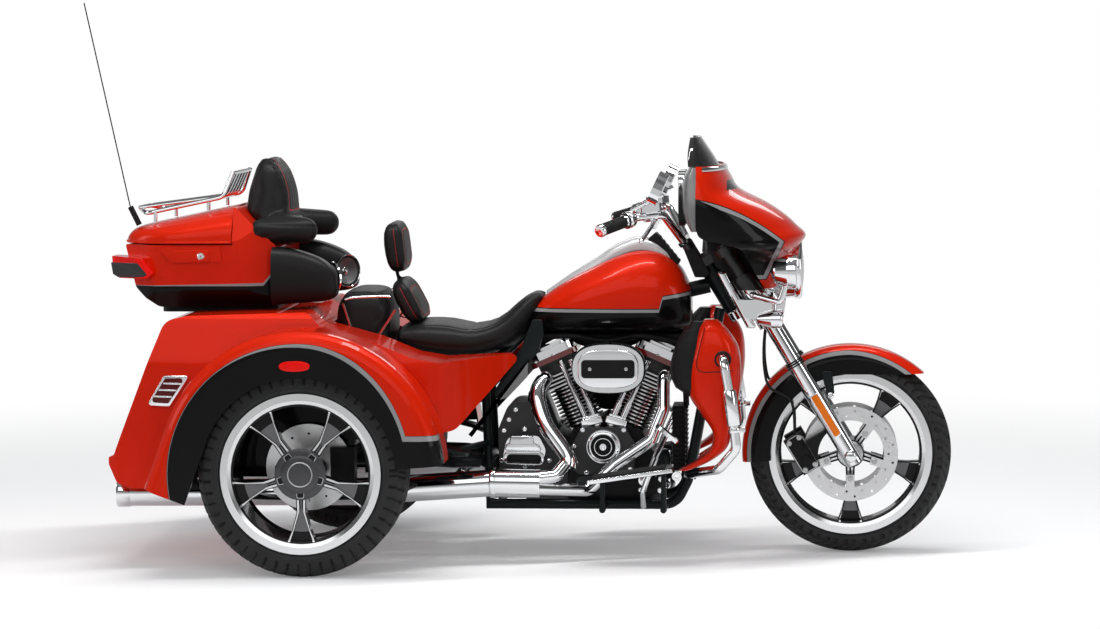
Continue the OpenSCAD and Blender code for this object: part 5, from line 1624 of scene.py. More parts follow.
def padded_cover(mesh, name, body, seams, rest=None, voxel=0.0052):
    """Leather cover over foam: swollen between its seams and flat where it rests."""
    swell = sizes().swell
    set_points(mesh, points_of(mesh) - normals_of(mesh) * swell * START_INSIDE)
    soft = remeshed(mesh, voxel)
    points = points_of(soft)
    held = np.zeros(len(points))
    for path in seams:
        held = np.maximum(held, near_path(points, path, SEAM_HOLD))
    if rest is not None:
        held = np.maximum(held, np.array([1.0 if rest(x, z) else 0.0 for x, _, z in points]))
    soft = inflated(soft, swell, held)

    def finer(holder):
        divide = holder.modifiers.new("divide", "SUBSURF")
        divide.levels = 1
        divide.render_levels = 1

    soft = evaluated(soft, "finer", finer)
    points = points_of(soft)
    dip = np.zeros(len(points))
    for path in seams:
        dip = np.maximum(dip, near_path(points, path, SEAM_REACH) ** 2)
    set_points(soft, points - normals_of(soft) * (dip * SEAM_DEPTH)[:, None])
    soft.materials.clear()
    soft.materials.append(finish("leather"))
    soft.name = name
    settle(soft, 60.0)
    piece = seat(soft, name, body)
    return piece


def on_surface(tree, path, axis, lift=0.0006):
    """Path moved onto a surface, looking along an axis from far outside."""
    d = Vector(axis).normalized()
    out = []
    for p in path:
        hit = tree.ray_cast(Vector(p) - d * 1.0, d)
        if hit[0] is not None:
            out.append(hit[0] - d * lift)
    return out


def tree_of(mesh):
    bm = bmesh.new()
    bm.from_mesh(mesh)
    tree = BVHTree.FromBMesh(bm)
    bm.free()
    return tree


SEAT_ROWS = [
    (246, 184, 734, 660), (320, 196, 746, 634), (400, 196, 744, 620), (480, 184, 730, 626),
    (560, 160, 752, 642),
    (620, 138, 804, 668), (664, 112, 834, 740), (702, 70, 832, 800)]


def make_rider_seat():
    mesh = copy_of("rider_seat", "rider_cover")
    tree = tree_of(mesh)
    edge = []
    for side in (-1, 1):
        edge.append(on_surface(tree, [at(x, side * (hermite(SEAT_ROWS, x, 1) * 0.80 - 6), 0)
                                      for x in range(258, 690, 8)], DOWN))
    cross = on_surface(tree, [at(472, y, 0) for y in range(-140, 141, 8)], DOWN)
    belt = []
    for side in (-1, 1):
        belt.append(on_surface(tree,
                               [at(x, 0, hermite(SEAT_ROWS, x, 3) * 0.62 + hermite(SEAT_ROWS, x, 2) * 0.38)
                                      for x in range(256, 640, 8)], (0, -side, 0)))
    floor_z = [hermite(SEAT_ROWS, x, 3) for x in range(246, 703)]

    def rests(x, z):
        along = int(max(0, min(456, (x - AXLE_X) / MM - 246)))
        return z / MM < floor_z[along] + 14

    piece = padded_cover(mesh, "rider_cover", "chassis", edge + [cross] + belt, rests)
    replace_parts(piece, "rider_seat")
    top = tree_of(piece.data)
    seams = []
    for path in edge:
        line = on_surface(top, path, DOWN, 0.0005)
        seams.append([p - Vector((0, math.copysign(0.006, p.y), 0)) for p in line])
    stitched("seat_stitches", seams, "dark_thread", "chassis", 0.0009)


BACKREST_PADS = [
    # middle height, half height, middle x, lean in degrees
    (976, 78, 229, 7), (803, 64, 271, 28)]


def make_rider_backrest():
    """Padded upper and lower backrest on their post, with red seams."""
    mesh = copy_of("rider_backrest", "backrest")
    for part in loose_parts(mesh):
        piece = part_of(mesh, part, "backrest_part")
        points = points_of(piece)
        if np.ptp(points[:, 1]) < 0.05:
            piece.materials.append(finish("black_steel"))
            settle(piece, 40.0)
            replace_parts(seat(piece, "backrest_post", "chassis"), "rider_backrest")
            continue
        tree = tree_of(piece)
        faces = []
        sides = []
        for mid_z, half_z, mid_x, lean in BACKREST_PADS:
            near = points[np.abs(points[:, 2] / MM - mid_z) < half_z * 0.5]
            half_y = np.ptp(near[:, 1]) / 2 / MM
            face = [at(0, y * half_y * 0.68, mid_z + z * half_z * 0.72) for y, z in oval(1, 1, 4.5, 96)]
            faces.append(on_surface(tree, face + face[:1], BACK))
            slope = math.tan(math.radians(lean))
            for side in (-1, 1):
                rises = [half_z * 0.74 * (k / 12 - 1) for k in range(25)]
                line = [at(mid_x + 5 - rise * slope, 0, mid_z + rise) for rise in rises]
                sides.append((side, on_surface(tree, line, (0, -side, 0))))
        seams = faces + [line for _, line in sides]
        pad = padded_cover(piece, "backrest_pad", "chassis", seams, None, 0.0046)
        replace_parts(pad, "rider_backrest")
        top = tree_of(pad.data)
        red = [on_surface(top, line, (0, -side, 0), 0.0004) for side, line in sides]
        red += [on_surface(top, line, BACK, 0.0004) for line in faces]
        stitched("backrest_pad_stitches", red, "thread", "chassis", 0.0010)


def make_passenger_seat():
    mesh = copy_of("passenger_seat", "passenger_cover")
    tree = tree_of(mesh)
    rim = [at(132 + x, y, 0) for y, x in oval(152, 62, 4, 96)]
    rim = on_surface(tree, rim + rim[:1], DOWN)
    piece = padded_cover(mesh, "passenger_cover", "chassis", [rim], lambda x, z: z < 0.632)
    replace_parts(piece, "passenger_seat")
    stitched("passenger_stitches", [on_surface(tree_of(piece.data), rim, DOWN, 0.0004)], "dark_thread",
             "chassis",
             0.0009)


BACK_ROWS = [
    (990, -262, -60, 196), (1040, -262, -72, 190), (1085, -260, -92, 172), (1150, -240, -98, 156),
    (1215, -218, -118, 146),
    (1250, -206, -140, 126), (1268, -196, -158, 96)]


def make_passenger_backrest():
    mesh = copy_of("passenger_backrest", "tall_backrest")
    tree = tree_of(mesh)
    panel = []
    for side in (-1, 1):
        panel.append([at(0, side * hermite(BACK_ROWS, z, 3) * 0.60, z) for z in range(1096, 1262, 5)])
    front = [on_surface(tree, path, BACK) for path in panel]
    base = on_surface(tree, [at(0, y, 1096) for y in range(-104, 105, 6)], BACK)
    collar = on_surface(tree, [at(0, y, 1078) for y in range(-150, 151, 6)], BACK)
    channels = []
    for k in (-0.36, -0.12, 0.12, 0.36):
        path = [at(0, k * hermite(BACK_ROWS, z, 3), z) for z in range(1104, 1246, 5)]
        channels.append(on_surface(tree, path, BACK))
    arms = []
    for side in (-1, 1):
        arms.append(on_surface(tree, [at(x, 0, 1064 - (x + 190) * 0.05) for x in range(-200, 8, 6)],
                               (0, -side, 0)))
    piece = padded_cover(mesh, "tall_backrest", "chassis", front + [base, collar] + channels + arms,
                         lambda x, z: x < AXLE_X - 0.2505)
    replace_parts(piece, "passenger_backrest")
    top = tree_of(piece.data)
    stitched("tall_stitches", [on_surface(top, path, BACK, 0.0004) for path in front + [base]], "thread",
             "chassis",
             0.0012)


# Wheels, brakes and fork


def make_hub_caps():
    for side, name in ((-1, "right"), (1, "left")):
        out = Vector((0, side, 0))
        shape = Shape()
        face = at(0, side * 639, REAR_R)
        shape.revolve([(0.2, 79), (3.5, 79), (5.5, 76), (6.0, 60), (8.0, 58), (9.5, 50), (10.5, 46),
                       (10.5, 0)], face, out, 72)
        for k in range(5):
            a = math.radians(-90 + 72 * k)
            u = Vector((math.cos(a), 0, math.sin(a)))
            v = out.cross(u)
            slot = rounded([(50, -11, 3), (71, -9, 3), (71, 9, 3), (50, 11, 3)], 3)
            right = v if u.cross(v).dot(out) > 0 else -v
            rim = rounded([(48, -13, 4), (73, -11, 4), (73, 11, 4), (48, 13, 4)], 3)
            shape.prism(rim, face + out * 0.0050, u, right, 2.0, 0.6, 2)
            shape.prism(slot, face + out * 0.0066, u, right, 1.4, 0.4, 1)
        shape.revolve([(10.2, 39), (12.4, 38.5), (13.0, 37), (12.4, 35.5), (10.2, 35)], face, out, 64,
                      slot=2)
        shape.build("hub_cap_" + name, ["dark_metal", "black_plastic", "satin_metal"],
                    "rear_wheel_set_" + name, "wheel_metal")


def make_front_hub():
    shape = Shape()
    for side in (-1, 1):
        out = Vector((0, side, 0))
        shape.revolve([(0, 44.2), (0, 40), (1.5, 38), (2.5, 30), (2.5, 19.5), (0, 19.5)],
                      at(WHEELBASE, side * 70.2, FRONT_R), out, 48)
    shape.build("front_hub_ring", "satin_metal", "front_wheel_set", "wheel_metal")
    places = []
    for side in (-1, 1):
        for k in range(5):
            a = math.radians(-90 + 72 * k)
            places.append((at(WHEELBASE + 79 * math.cos(a), side * 77.2, FRONT_R + 79 * math.sin(a)),
                           (0, side, 0), 0))
    repeated("rotor_bolts", bolt(), places, "satin_metal", "front_wheel_set", 0.0078)


def make_fork_trim():
    shape = Shape()
    up = (steer(0, 0, 1) - steer(0, 0, 0)).normalized()
    fore = (steer(1, 0, 0) - steer(0, 0, 0)).normalized()
    for side in (-1, 1):
        out = Vector((0, side, 0))
        leg = steer(75, side * 143.3, 150)
        right = fore if fore.cross(up).dot(out) > 0 else -fore
        lens = box_outline(-11, -73, 11, 73, 6, 4)
        holder = box_outline(-14, -77, 14, 77, 8, 4)
        shape.prism(lens, leg, right, up, 5.5, 2.0, 0)
        shape.prism(holder, leg - out * 0.006, right, up, 7.0, 1.5, 1)
        axle = at(WHEELBASE, side * 149.2, FRONT_R)
        shape.revolve([(0, 19.4), (4, 19.4), (9, 17), (12, 11), (13, 0)], axle, out, 40, slot=1)
    shape.build("fork_reflectors", ["amber_lens", "chrome"], "steering", "chrome")
    cover = Shape()
    places = []
    for side in (-1, 1):
        out = Vector((0, side, 0))
        right = fore if fore.cross(up).dot(out) > 0 else -fore
        face = steer(-54, side * 95.6, 80.5)
        rim = rounded([(-29.5, -61, 15), (29.5, -61, 15), (29.5, 61, 20), (-29.5, 61, 20)], 5)
        plate = rounded([(-26.5, -58, 12), (26.5, -58, 12), (26.5, 58, 17), (-26.5, 58, 17)], 5)
        cover.prism(rim, face, right, up, 3.2, 1.0, 1)
        cover.prism(plate, face + out * 0.0028, right, up, 5.0, 2.2)
        for z in (-25, 25):
            cover.revolve([(0, 19), (2, 18.5), (3.5, 16), (4, 14), (3.2, 13), (3.2, 0)],
                          face + up * (z * MM) + out * 0.0076, out, 40)
        for x, z in ((-18, -49), (18, -49), (-18, 49), (18, 49)):
            places.append((face + right * (x * MM) + up * (z * MM) + out * 0.0076, out, 0))
    cover.build("caliper_covers", ["wrinkle_black", "satin_metal"], "steering", "engine_black")
    repeated("caliper_bolts", bolt(), places, "satin_metal", "steering", 0.0065)
    rings = Shape()
    for side in (-1, 1):
        for z, r in ((339, 30.5), (346, 29.0), (332, 30.5)):
            rings.revolve([(-2.4, r - 1.5), (-2.4, r), (2.4, r), (2.4, r - 1.5)], steer(75, side * 115, z),
                          steer(0, 0, 1) - steer(0, 0, 0), 40)
    rings.build("fork_seals", "black_steel", "steering", "frame_black")


# Engine


def make_engine_trim():
    out = Vector(RIGHT)
    shape = Shape()
    shape.prism(oval(96.4, 61.4, 3.0, 72), at(912, -201.9, 600), AHEAD, UP, 11.2, 5.0, 0, steps=5)
    shape.prism(box_outline(-84, -29, 84, 29, 12, 5), at(912, -212.6, 600), AHEAD,
                UP, 2.4, 1.0, 1)
    for x in (-57, 57):
        shape.revolve([(0, 5.5), (1.6, 5.5), (2.2, 4.5), (2.2, 2.4), (1.2, 2.2), (1.2, 0)],
                      at(912 + x, -215.0, 600), out, 20, slot=2)
    shape.build("cleaner_cover", ["chrome", "wrinkle_black", "satin_metal"], "chassis", "chrome", 36.0)
    tooth = Shape()
    tooth.prism(box_outline(-2.6, -3.2, 2.6, 3.2, 1.2, 2), (0, 0, 0), AHEAD, LEFT,
                34, 1.5)
    places = []
    for px, pz in oval(113.5, 77.5, 2.5, 96):
        places.append((at(912 + px, -154, 600 + pz), out, 0))
    repeated("cleaner_teeth", tooth, places, "black_steel", "chassis", 1.0)
    cam = Shape()
    centre = at(894, -186.4, 352)
    cam.revolve([(0, 50), (3.0, 49), (5.6, 45), (6.6, 41.5), (6.6, 40.2), (5.6, 40)], centre, out, 64)
    cam.revolve([(6.0, 39.6), (6.9, 39.2), (6.9, 31), (5.4, 30), (5.4, 24), (6.9, 23), (6.9, 13),
                 (6.1, 12.4), (6.1, 0)], centre, out, 64,
                slot=1)
    cam.revolve([(6.0, 28.5), (7.4, 28), (7.4, 26), (6.0, 25.5)], centre, out, 64, slot=0)
    cam.revolve([(6.0, 11), (7.6, 10.5), (7.6, 7), (6.8, 6.4), (6.8, 0)], centre, out, 40, slot=0)
    cam.build("cam_cap", ["chrome", "paint_dark"], "chassis", "chrome")
    box = Shape()
    box.prism(rounded([(582, 338, 6), (702, 336, 6), (690, 356, 4), (676, 362, 4), (671, 386, 5),
                       (601, 386, 5), (596, 362, 4),
                       (586, 358, 4)], 3), at(0, -168.2, 0), AHEAD, UP, 9, 3.5, 0)
    box.prism(rounded([(578, 296, 16), (706, 292, 18), (708, 334, 18), (578, 336, 16)], 5),
              at(0, -168.2, 0), AHEAD, UP, 8, 3.0, 0)
    box.prism(rounded([(588, 301, 13), (698, 298, 13), (699, 326, 13), (588, 328, 13)], 5),
              at(0, -176.0, 0), AHEAD, UP, 2.4, 1.0, 1)
    box.build("gearbox_cap", ["chrome", "wrinkle_black"], "chassis", "chrome")
    blocks = Shape()
    for s in (-1, 1):
        c = math.radians(-s * 16)
        right = Vector((math.cos(c), 0, math.sin(c)))
        up = Vector((-math.sin(c), 0, math.cos(c)))
        mid = at(894 + s * 39, -110, 428)
        blocks.prism(box_outline(-34, -13, 34, 11, 4, 3), mid, right, up, 34, 3.0, 0)
        blocks.prism(box_outline(-28, 11, 28, 19, 3, 3), mid, right, up, 28, 2.0, 0)
    blocks.build("tappet_blocks", "chrome", "chassis", "chrome")
    bolts = []
    for x, z in ((806, 300), (800, 352), (828, 404), (958, 404), (988, 350), (978, 280), (894, 270),
                 (840, 268)):
        bolts.append((at(x, -166.3, z), out, 0))
    for x, z in ((566, 300), (574, 396), (640, 400), (708, 398), (718, 300), (640, 282)):
        bolts.append((at(x, -108.2, z), out, 0))
    for x, z in ((612, 462), (672, 462), (590, 430), (700, 430)):
        bolts.append((at(x, -108.2, z), out, 0))
    repeated("cover_bolts", bolt(), bolts, "chrome", "chassis", sizes().bolt_head)
    heads = []
    for s in (-1, 1):
        for u, y in ((-62, -86), (0, -88), (62, -86), (-62, 86), (62, 86)):
            along = 417.0
            x = CRANK[0] + s * (along * math.sin(VEE)) + u * math.cos(VEE)
            z = CRANK[1] + along * math.cos(VEE) - s * u * math.sin(VEE)
            heads.append((at(x, y, z), (s * math.sin(VEE), 0, math.cos(VEE)), 0))
    repeated("rocker_bolts", bolt(), heads, "chrome", "chassis", 0.0055)


def make_exhaust_trim():
    shape = Shape()
    rear = [(712, -150, 566), (690, -200, 520), (716, -236, 430), (790, -262, 318), (752, -292, 272),
            (690, -300, 266)]
    path = smooth_path([at(*p) for p in rear], 10)
    shape.tube(path[3:34], 0.0262, 24)
    clamps = Shape()
    for place, axis, r in ((at(556, -300, 252), (1, 0, 0.02), 46.5),
                           (at(250, -319, 233), (1, -0.06, -0.06), 43.6),
                           (at(-300, -337.6, 225), (1, -0.03, 0), 43.2)):
        clamps.revolve([(-9, r - 2), (-9, r), (-6, r + 1.6), (6, r + 1.6), (9, r), (9, r - 2)], place, axis,
                       48)
        clamps.revolve([(-5, r - 2), (-5, r), (5, r), (5, r - 2)], place, axis, 48)
    clamps.build("pipe_clamps", "chrome", "chassis", "chrome")
    shape.build("header_shield", "chrome", "chassis", "chrome", 45.0)
    tips = Shape()
    for side in (-1, 1):
        end = at(-618, side * 346, 224)
        axis = Vector((-1, side * 0.027, 0))
        tips.revolve([(-40, 42.3), (-36, 44.5), (0, 45.5), (2, 44.5), (2, 41), (0, 39), (-12, 37),
                      (-12, 0)], end, axis, 56)
        tips.revolve([(-11.6, 36.6), (-11.0, 36.6), (-11.0, 0)], end, axis, 40, slot=1)
    tips.build("muffler_tips", ["chrome", "wrinkle_black"], "chassis", "chrome")


# Dark fittings round the engine and the steering head


def plates(name, rows, y, depth, bevel, material, body, slot, sides=(-1, 1)):
    """Flat pieces of one outline of x, z and corner radius, on each side of the middle."""
    shape = Shape()
    for side in sides:
        right = (-side, 0, 0)
        shape.prism(rounded([(-side * x, z, r) for x, z, r in rows], 4), at(0, side * y, 0), right, UP,
                    depth, bevel)
    return shape.build(name, material, body, slot)


def make_engine_fill():
    """Intake, horn cover, cooler, oil filter and tank, and the dark parts under fuel tank and case."""
    shape = Shape()
    shape.tube(smooth_path([at(826, 0, 560), at(862, -14, 575), at(897, -20, 580), at(932, -14, 575),
                            at(968, 0, 560)], 6),
               0.024, 20)
    shape.tube(smooth_path([at(897, -10, 580), at(900, -70, 590), at(910, -148, 600)], 6), 0.031, 24)
    shape.prism(oval(70, 104, 2.4, 64), at(897, 102, 545), BACK, UP, 8, 2.0)
    shape.prism(oval(66, 99, 2.4, 64), at(897, 109.6, 545), BACK, UP, 20, 9.0, 1)
    rows = [(650, 644), (690, 658), (765, 690), (800, 664), (850, 650), (897, 646), (944, 650), (994, 664),
            (1029, 690),
            (1100, 660), (1146, 640)]
    rings = []
    for i in range(51):
        x = 650 + 496 * i / 50
        low = hermite(rows, x, 1)
        rings.append([at(x, 34 * spow(math.cos(a), 4),
                         (low + 706) / 2 + (706 - low) / 2 * spow(math.sin(a), 4))
                      for a in turns(32)])
    shape.loft(rings)
    for side in (-1, 1):
        shape.tube(smooth_path([at(700, side * 58, 690), at(790, side * 70, 694), at(897, side * 62, 676),
                                at(1010, side * 70, 694),
                                at(1120, side * 50, 672)], 8), 0.011, 12)
        shape.tube(smooth_path([at(1020, side * 40, 690), at(1090, side * 52, 640),
                                at(1140, side * 46, 560), at(1150, side * 40, 460)],
                               8), 0.008, 10)
    shape.build("intake", ["wrinkle_black", "chrome"], "chassis", "engine_black")
    cooler = Shape()
    cooler.prism(box_outline(-76, 262, 76, 470, 10, 4), at(1108, 0, 0), LEFT, UP, 40, 4.0)
    for k in range(13):
        z = 276 + k * 15
        cooler.prism(box_outline(-84, z, 84, z + 4, 1.5, 2), at(1104, 0, 0), LEFT,
                     UP, 50, 1.2)
    cooler.build("oil_cooler", "wrinkle_black", "chassis", "engine_black")
    can = Shape()
    rib = [(0, 30), (4, 37), (10, 38)]
    for k in range(5):
        rib += [(14 + k * 12, 38), (16 + k * 12, 36.6), (20 + k * 12, 36.6), (22 + k * 12, 38)]
    can.revolve(rib + [(78, 38), (86, 34), (90, 24), (91, 0)], at(1010, -62, 290), (1, 0, 0.08), 40)
    can.build("oil_filter", "black_steel", "chassis", "engine_black")
    tank = Shape()
    tank.prism(rounded([(640, 385, 12), (752, 385, 12), (722, 465, 10), (700, 520, 12), (650, 520, 12)], 4),
               at(0, 70, 0), AHEAD,
               UP, 140, 5.0)
    tank.build("oil_tank", "black_steel", "chassis", "engine_black")
    tray = Shape()
    tray.prism(box_outline(-500, -205, -130, 205, 30, 5), at(0, 0, 782), AHEAD, LEFT,
               17.6, 2.0)
    tray.build("case_tray", "black_plastic", "chassis", "black_plastic")


def make_control_plates():
    plates("control_plate", [(1000, 222, 10), (1010, 205, 10), (1082, 203, 14), (1108, 232, 12),
                             (1086, 262, 12), (1040, 250, 10)],
           168, 10, 2.0, "wrinkle_black", "chassis", "frame_black")
    spots = []
    shape = Shape()
    for side in (-1, 1):
        for x, z in ((1076, 250), (1096, 230), (1074, 214), (1014, 215)):
            spots.append((at(x, side * 178.2, z), (0, side, 0), 0))
        hub = at(1020, side * 182, 246)
        shape.revolve([(0, 17), (6, 17), (9, 15), (9, 9), (7, 8), (7, 4), (10, 3.4), (10, 0)], hub,
                      (0, side, 0), 36)
        arm = smooth_path([hub + Vector((0, side * 0.004, 0)), at(1044, side * 200, 286),
                           at(1064, side * 246, 330)], 8)
        shape.tube(arm, [0.013 - 0.004 * k / (len(arm) - 1) for k in range(len(arm))], 14)
        eye = at(1126, side * 204, 262)
        shape.revolve([(-6, 6), (-6, 15), (6, 15), (6, 6)], eye, (0, side, 0), 32)
    shape.build("brake_arm", "chrome", "chassis", "chrome")
    repeated("plate_bolts", bolt(), spots, "chrome", "chassis", 0.0075)
    strip = Shape()
    c, q = math.cos(math.radians(8.3)), math.sin(math.radians(8.3))
    for side in (-1, 1):
        right = Vector((c, 0, q)) * (-side)
        start = at(824, side * 395.2, 252)
        strip.prism(rounded([(-side * u, v, r) for u, v,
                             r in ((34, 1, 2), (300, 1, 2), (300, 13, 2), (34, 13, 2))], 3), start, right,
                    Vector((-q, 0, c)), 3.4, 1.4)
        for k in range(9):
            v = 14 + k * 12
            along = Vector((c, 0, q))
            base = at(824, side * (395 - v), 252) + Vector((-q, 0, c)) * 0.0138
            strip.prism(box_outline(48, -3.4, 278, 3.4, 1.5, 2), base, along, LEFT, 4.0, 1.5, 1)
    strip.build("footboard_trim", ["chrome", "soft_rubber"], "chassis", "chrome")


def make_lower_trim():
    shell = tree_of(bpy.data.objects["lower_shells"].data)
    shape = Shape()
    for side in (-1, 1):
        line = smooth_path([at(1222, 0, 742), at(1208, 0, 690), at(1196, 0, 636), at(1206, 0, 609),
                            at(1250, 0, 607), at(1306, 0, 610)], 10)
        shape.tube(on_surface(shell, line, (0, -side, 0), -0.0004), 0.0016, 8)
        hole = on_surface(shell, [at(1276, 0, 645)], (0, -side, 0), 0.0)[0]
        shape.revolve([(-6, 19), (2.5, 19.5), (4, 22), (3, 25), (0.5, 27), (-6, 27)], hole, (0, side, 0),
                      40)
    shape.build("door_lines", "black_plastic", "chassis", "black_plastic")
    sleeve = Shape()
    for side in (-1, 1):
        a, b = at(1310.5, side * 412, 445), at(1295, side * 412, 556)
        sleeve.revolve([(0, 14), (0, 20), (2, 21.5), (104, 21.5), (110, 18), (111, 14)], a, b - a, 36)
        sleeve.revolve([(-22, 14), (-22, 19), (-20, 20), (-10, 20), (-8, 19), (-8, 14)], a, b - a, 36)
        sleeve.prism(box_outline(-6, -7, 20, 7, 2, 3), at(1326, side * 404, 429), (1, 0, 0.1), UP, 12, 1.5)
    sleeve.build("guard_sleeves", "chrome", "chassis", "chrome")
    plates("side_covers", [(553, 493, 5), (592, 506, 6), (655, 572, 8), (659, 622, 8), (694, 668, 5)], 166,
           6, 2.0, "paint_grey",
           "chassis", "silver")


def make_frame_trim():
    rows = [(545, 520, 5), (557, 500, 5), (690, 650, 8), (707, 709, 8), (702, 752, 6), (672, 752, 6),
            (636, 667, 8)]
    plates("seat_posts", rows, 148, 12, 3.0, "black_steel", "chassis", "frame_black")


def make_front_trim():
    plates("inner_skirt", [(1208, 1016, 8), (1246, 914, 8), (1332, 838, 8), (1430, 886, 8), (1440, 943, 8),
                           (1335, 969, 8), (1275, 994, 8)],
           60, 12, 2.0, "black_plastic", "steering", "black_plastic")
    plates("nacelle_strips", [(1250, 902, 6), (1280, 902, 6), (1313, 836, 10), (1380, 722, 8),
                              (1346, 724, 8)], 146.6, 12, 8.0, "chrome",
           "steering", "chrome")
    band = Shape()
    rings = []
    for i in range(65):
        a = math.radians(-78 + 156 * i / 64)
        rings.append([at(*wing(z, inset, a)) for z, inset in ((1221, 1.5), (1221, -1.5), (1223, -3.6),
                                                              (1231, -4.2), (1234, -2), (1234, 1.5))])
    band.loft(rings)
    band.build("screen_band", "chrome", "steering", "chrome", 50.0)
    box = Shape()
    front = rounded([(1030, 998, 4), (1056, 1020, 6), (1141, 916, 8), (1104, 918, 4)], 3)
    box.prism(front, at(0, 42, 0), AHEAD, UP, 84, 4.0)
    d = Vector((84, 0, -104)).normalized()
    for k in range(6):
        base = at(1060, -22, 1015) + d * (0.010 + k * 0.019)
        box.prism(box_outline(0, -1, 9, 44, 1, 2), base, d, LEFT, 3.0, 1.0, 1)
    box.build("console_switches", ["black_plastic", "soft_rubber"], "chassis", "black_plastic")
    head = Shape()
    head.prism(rounded([(1146, 964, 5), (1180, 974, 6), (1228, 892, 6), (1215, 877, 6), (1180, 878, 6)], 3),
               at(0, -34, 0), AHEAD, UP,
               28, 3.0)
    head.prism(rounded([(1126, 982, 3), (1163, 1003, 4), (1173, 995, 4), (1137, 970, 3)], 3), at(0, -38, 0),
               AHEAD, UP, 20, 2.0, 1)
    head.build("head_box", ["black_plastic", "black_steel"], "steering", "black_plastic")


def make_seat_trim():
    shape = Shape()
    for side in (-1, 1):
        y = side * 193
        for path in (((74, 806), (88, 762), (101, 722), (110, 700)),
                     ((240, 786), (222, 758), (200, 725), (180, 695))):
            shape.tube(smooth_path([at(x, y, z) for x, z in path], 4), 0.0021, 8, slot=0)
            shape.tube(smooth_path([at(x + 4, y, z) for x, z in path], 4), 0.0015, 8, slot=1)
        shape.tube(smooth_path([at(82, y, 818), at(110, y - side * 2, 824), at(200, y - side * 2, 828),
                                at(227, y, 826)], 6), 0.0046, 12, slot=1)
    shape.build("seat_trim", ["thread", "chrome"], "chassis", "chrome")


def make_dials():
    """Gauges, screen and speakers on the dashboard."""
    wall = tree_of(bpy.data.objects["dash_shell"].data)
    back = Vector(BACK)
    shape = Shape()
    for y, z, r in ((-62, 1168, 46), (62, 1168, 46), (-150, 1178, 30), (150, 1178, 30)):
        spot = on_surface(wall, [at(0, y, z)], AHEAD, 0.0)[0]
        shape.revolve([(-12, r + 4), (8, r + 4), (10, r + 1), (6, r - 2), (-12, r - 2)], spot, back, 48)
        shape.revolve([(-12, r - 1), (3, r - 1), (3.6, 0)], spot, back, 48, slot=1)
        shape.revolve([(3.4, 4), (5.4, 4), (5.8, 3), (5.8, 0)], spot, back, 20, slot=0)
        for k in range(11):
            a = math.radians(-30 + 24 * k)
            u = Vector((0, math.cos(a), math.sin(a)))
            tip = spot + u * ((r - 5) * MM) + back * 0.0042
            shape.prism(box_outline(-4, -0.8, 4, 0.8, 0.4, 2), tip, u, back.cross(u), 0.8, 0.3, 2)
    for y in (-236, 236):
        spot = on_surface(wall, [at(0, y, 1112)], AHEAD, 0.0)[0]
        shape.revolve([(-12, 62), (6, 62), (8, 58), (6, 54), (-12, 54)], spot, back, 56, slot=3)
        shape.revolve([(-12, 55), (2, 55), (4, 30), (5, 0)], spot, back, 48, slot=4)
    spot = on_surface(wall, [at(0, 0, 1092)], AHEAD, 0.0)[0]
    shape.prism(box_outline(-86, -44, 86, 44, 10, 4), spot - back * 0.012, RIGHT, UP, 20, 3.0, 3)
    shape.prism(box_outline(-74, -36, 74, 36, 5, 4), spot + back * 0.0078, RIGHT, UP, 1.4, 0.5, 1)
    shape.build("dials", ["chrome", "dial_face", "paint_silver", "black_plastic", "speaker_cone"],
                "steering", "black_plastic")


def make_left_trim():
    """Raised covers and bolts on the left of the engine."""
    shape = Shape()
    left = Vector(LEFT)
    face = at(0, 196.3, 0)
    shape.prism(rounded([(-574, 232, 50), (-950, 232, 60), (-968, 330, 62), (-930, 405, 50),
                         (-606, 386, 58), (-560, 300, 58)], 6), face,
                BACK, UP, 6, 3.0)
    shape.revolve([(5.6, 84), (12, 83), (15, 79), (15.5, 70), (14, 66), (14, 0)], at(660, 196.3, 308), left,
                  64)
    shape.revolve([(13.6, 62), (16.4, 61), (17.4, 57), (17.4, 0)], at(660, 196.3, 308), left, 56)
    shape.revolve([(5.6, 50), (10, 49), (12, 44), (12, 0)], at(892, 196.3, 322), left, 56)
    shape.build("primary_caps", "chrome", "chassis", "chrome")
    spots = []
    for x, z in ((585, 262), (640, 228), (760, 224), (880, 224), (948, 262), (968, 330), (930, 400),
                 (790, 400), (640, 386), (566, 330)):
        spots.append((at(x, 202.4, z), left, 0))
    for k in range(5):
        a = math.radians(90 + 72 * k)
        spots.append((at(660 + 75 * math.cos(a), 211.2, 308 + 75 * math.sin(a)), left, 0))
    repeated("primary_bolts", bolt(), spots, "satin_metal", "chassis", sizes().bolt_head)


# Lamps


def lamp_lens(shape, front, axis, r, crown, slot):
    rows = [(crown * (1 - (k / 10) ** 2), r * k / 10) for k in range(10, -1, -1)]
    shape.revolve([(-1.0, r)] + rows, front, axis, 56, slot=slot)


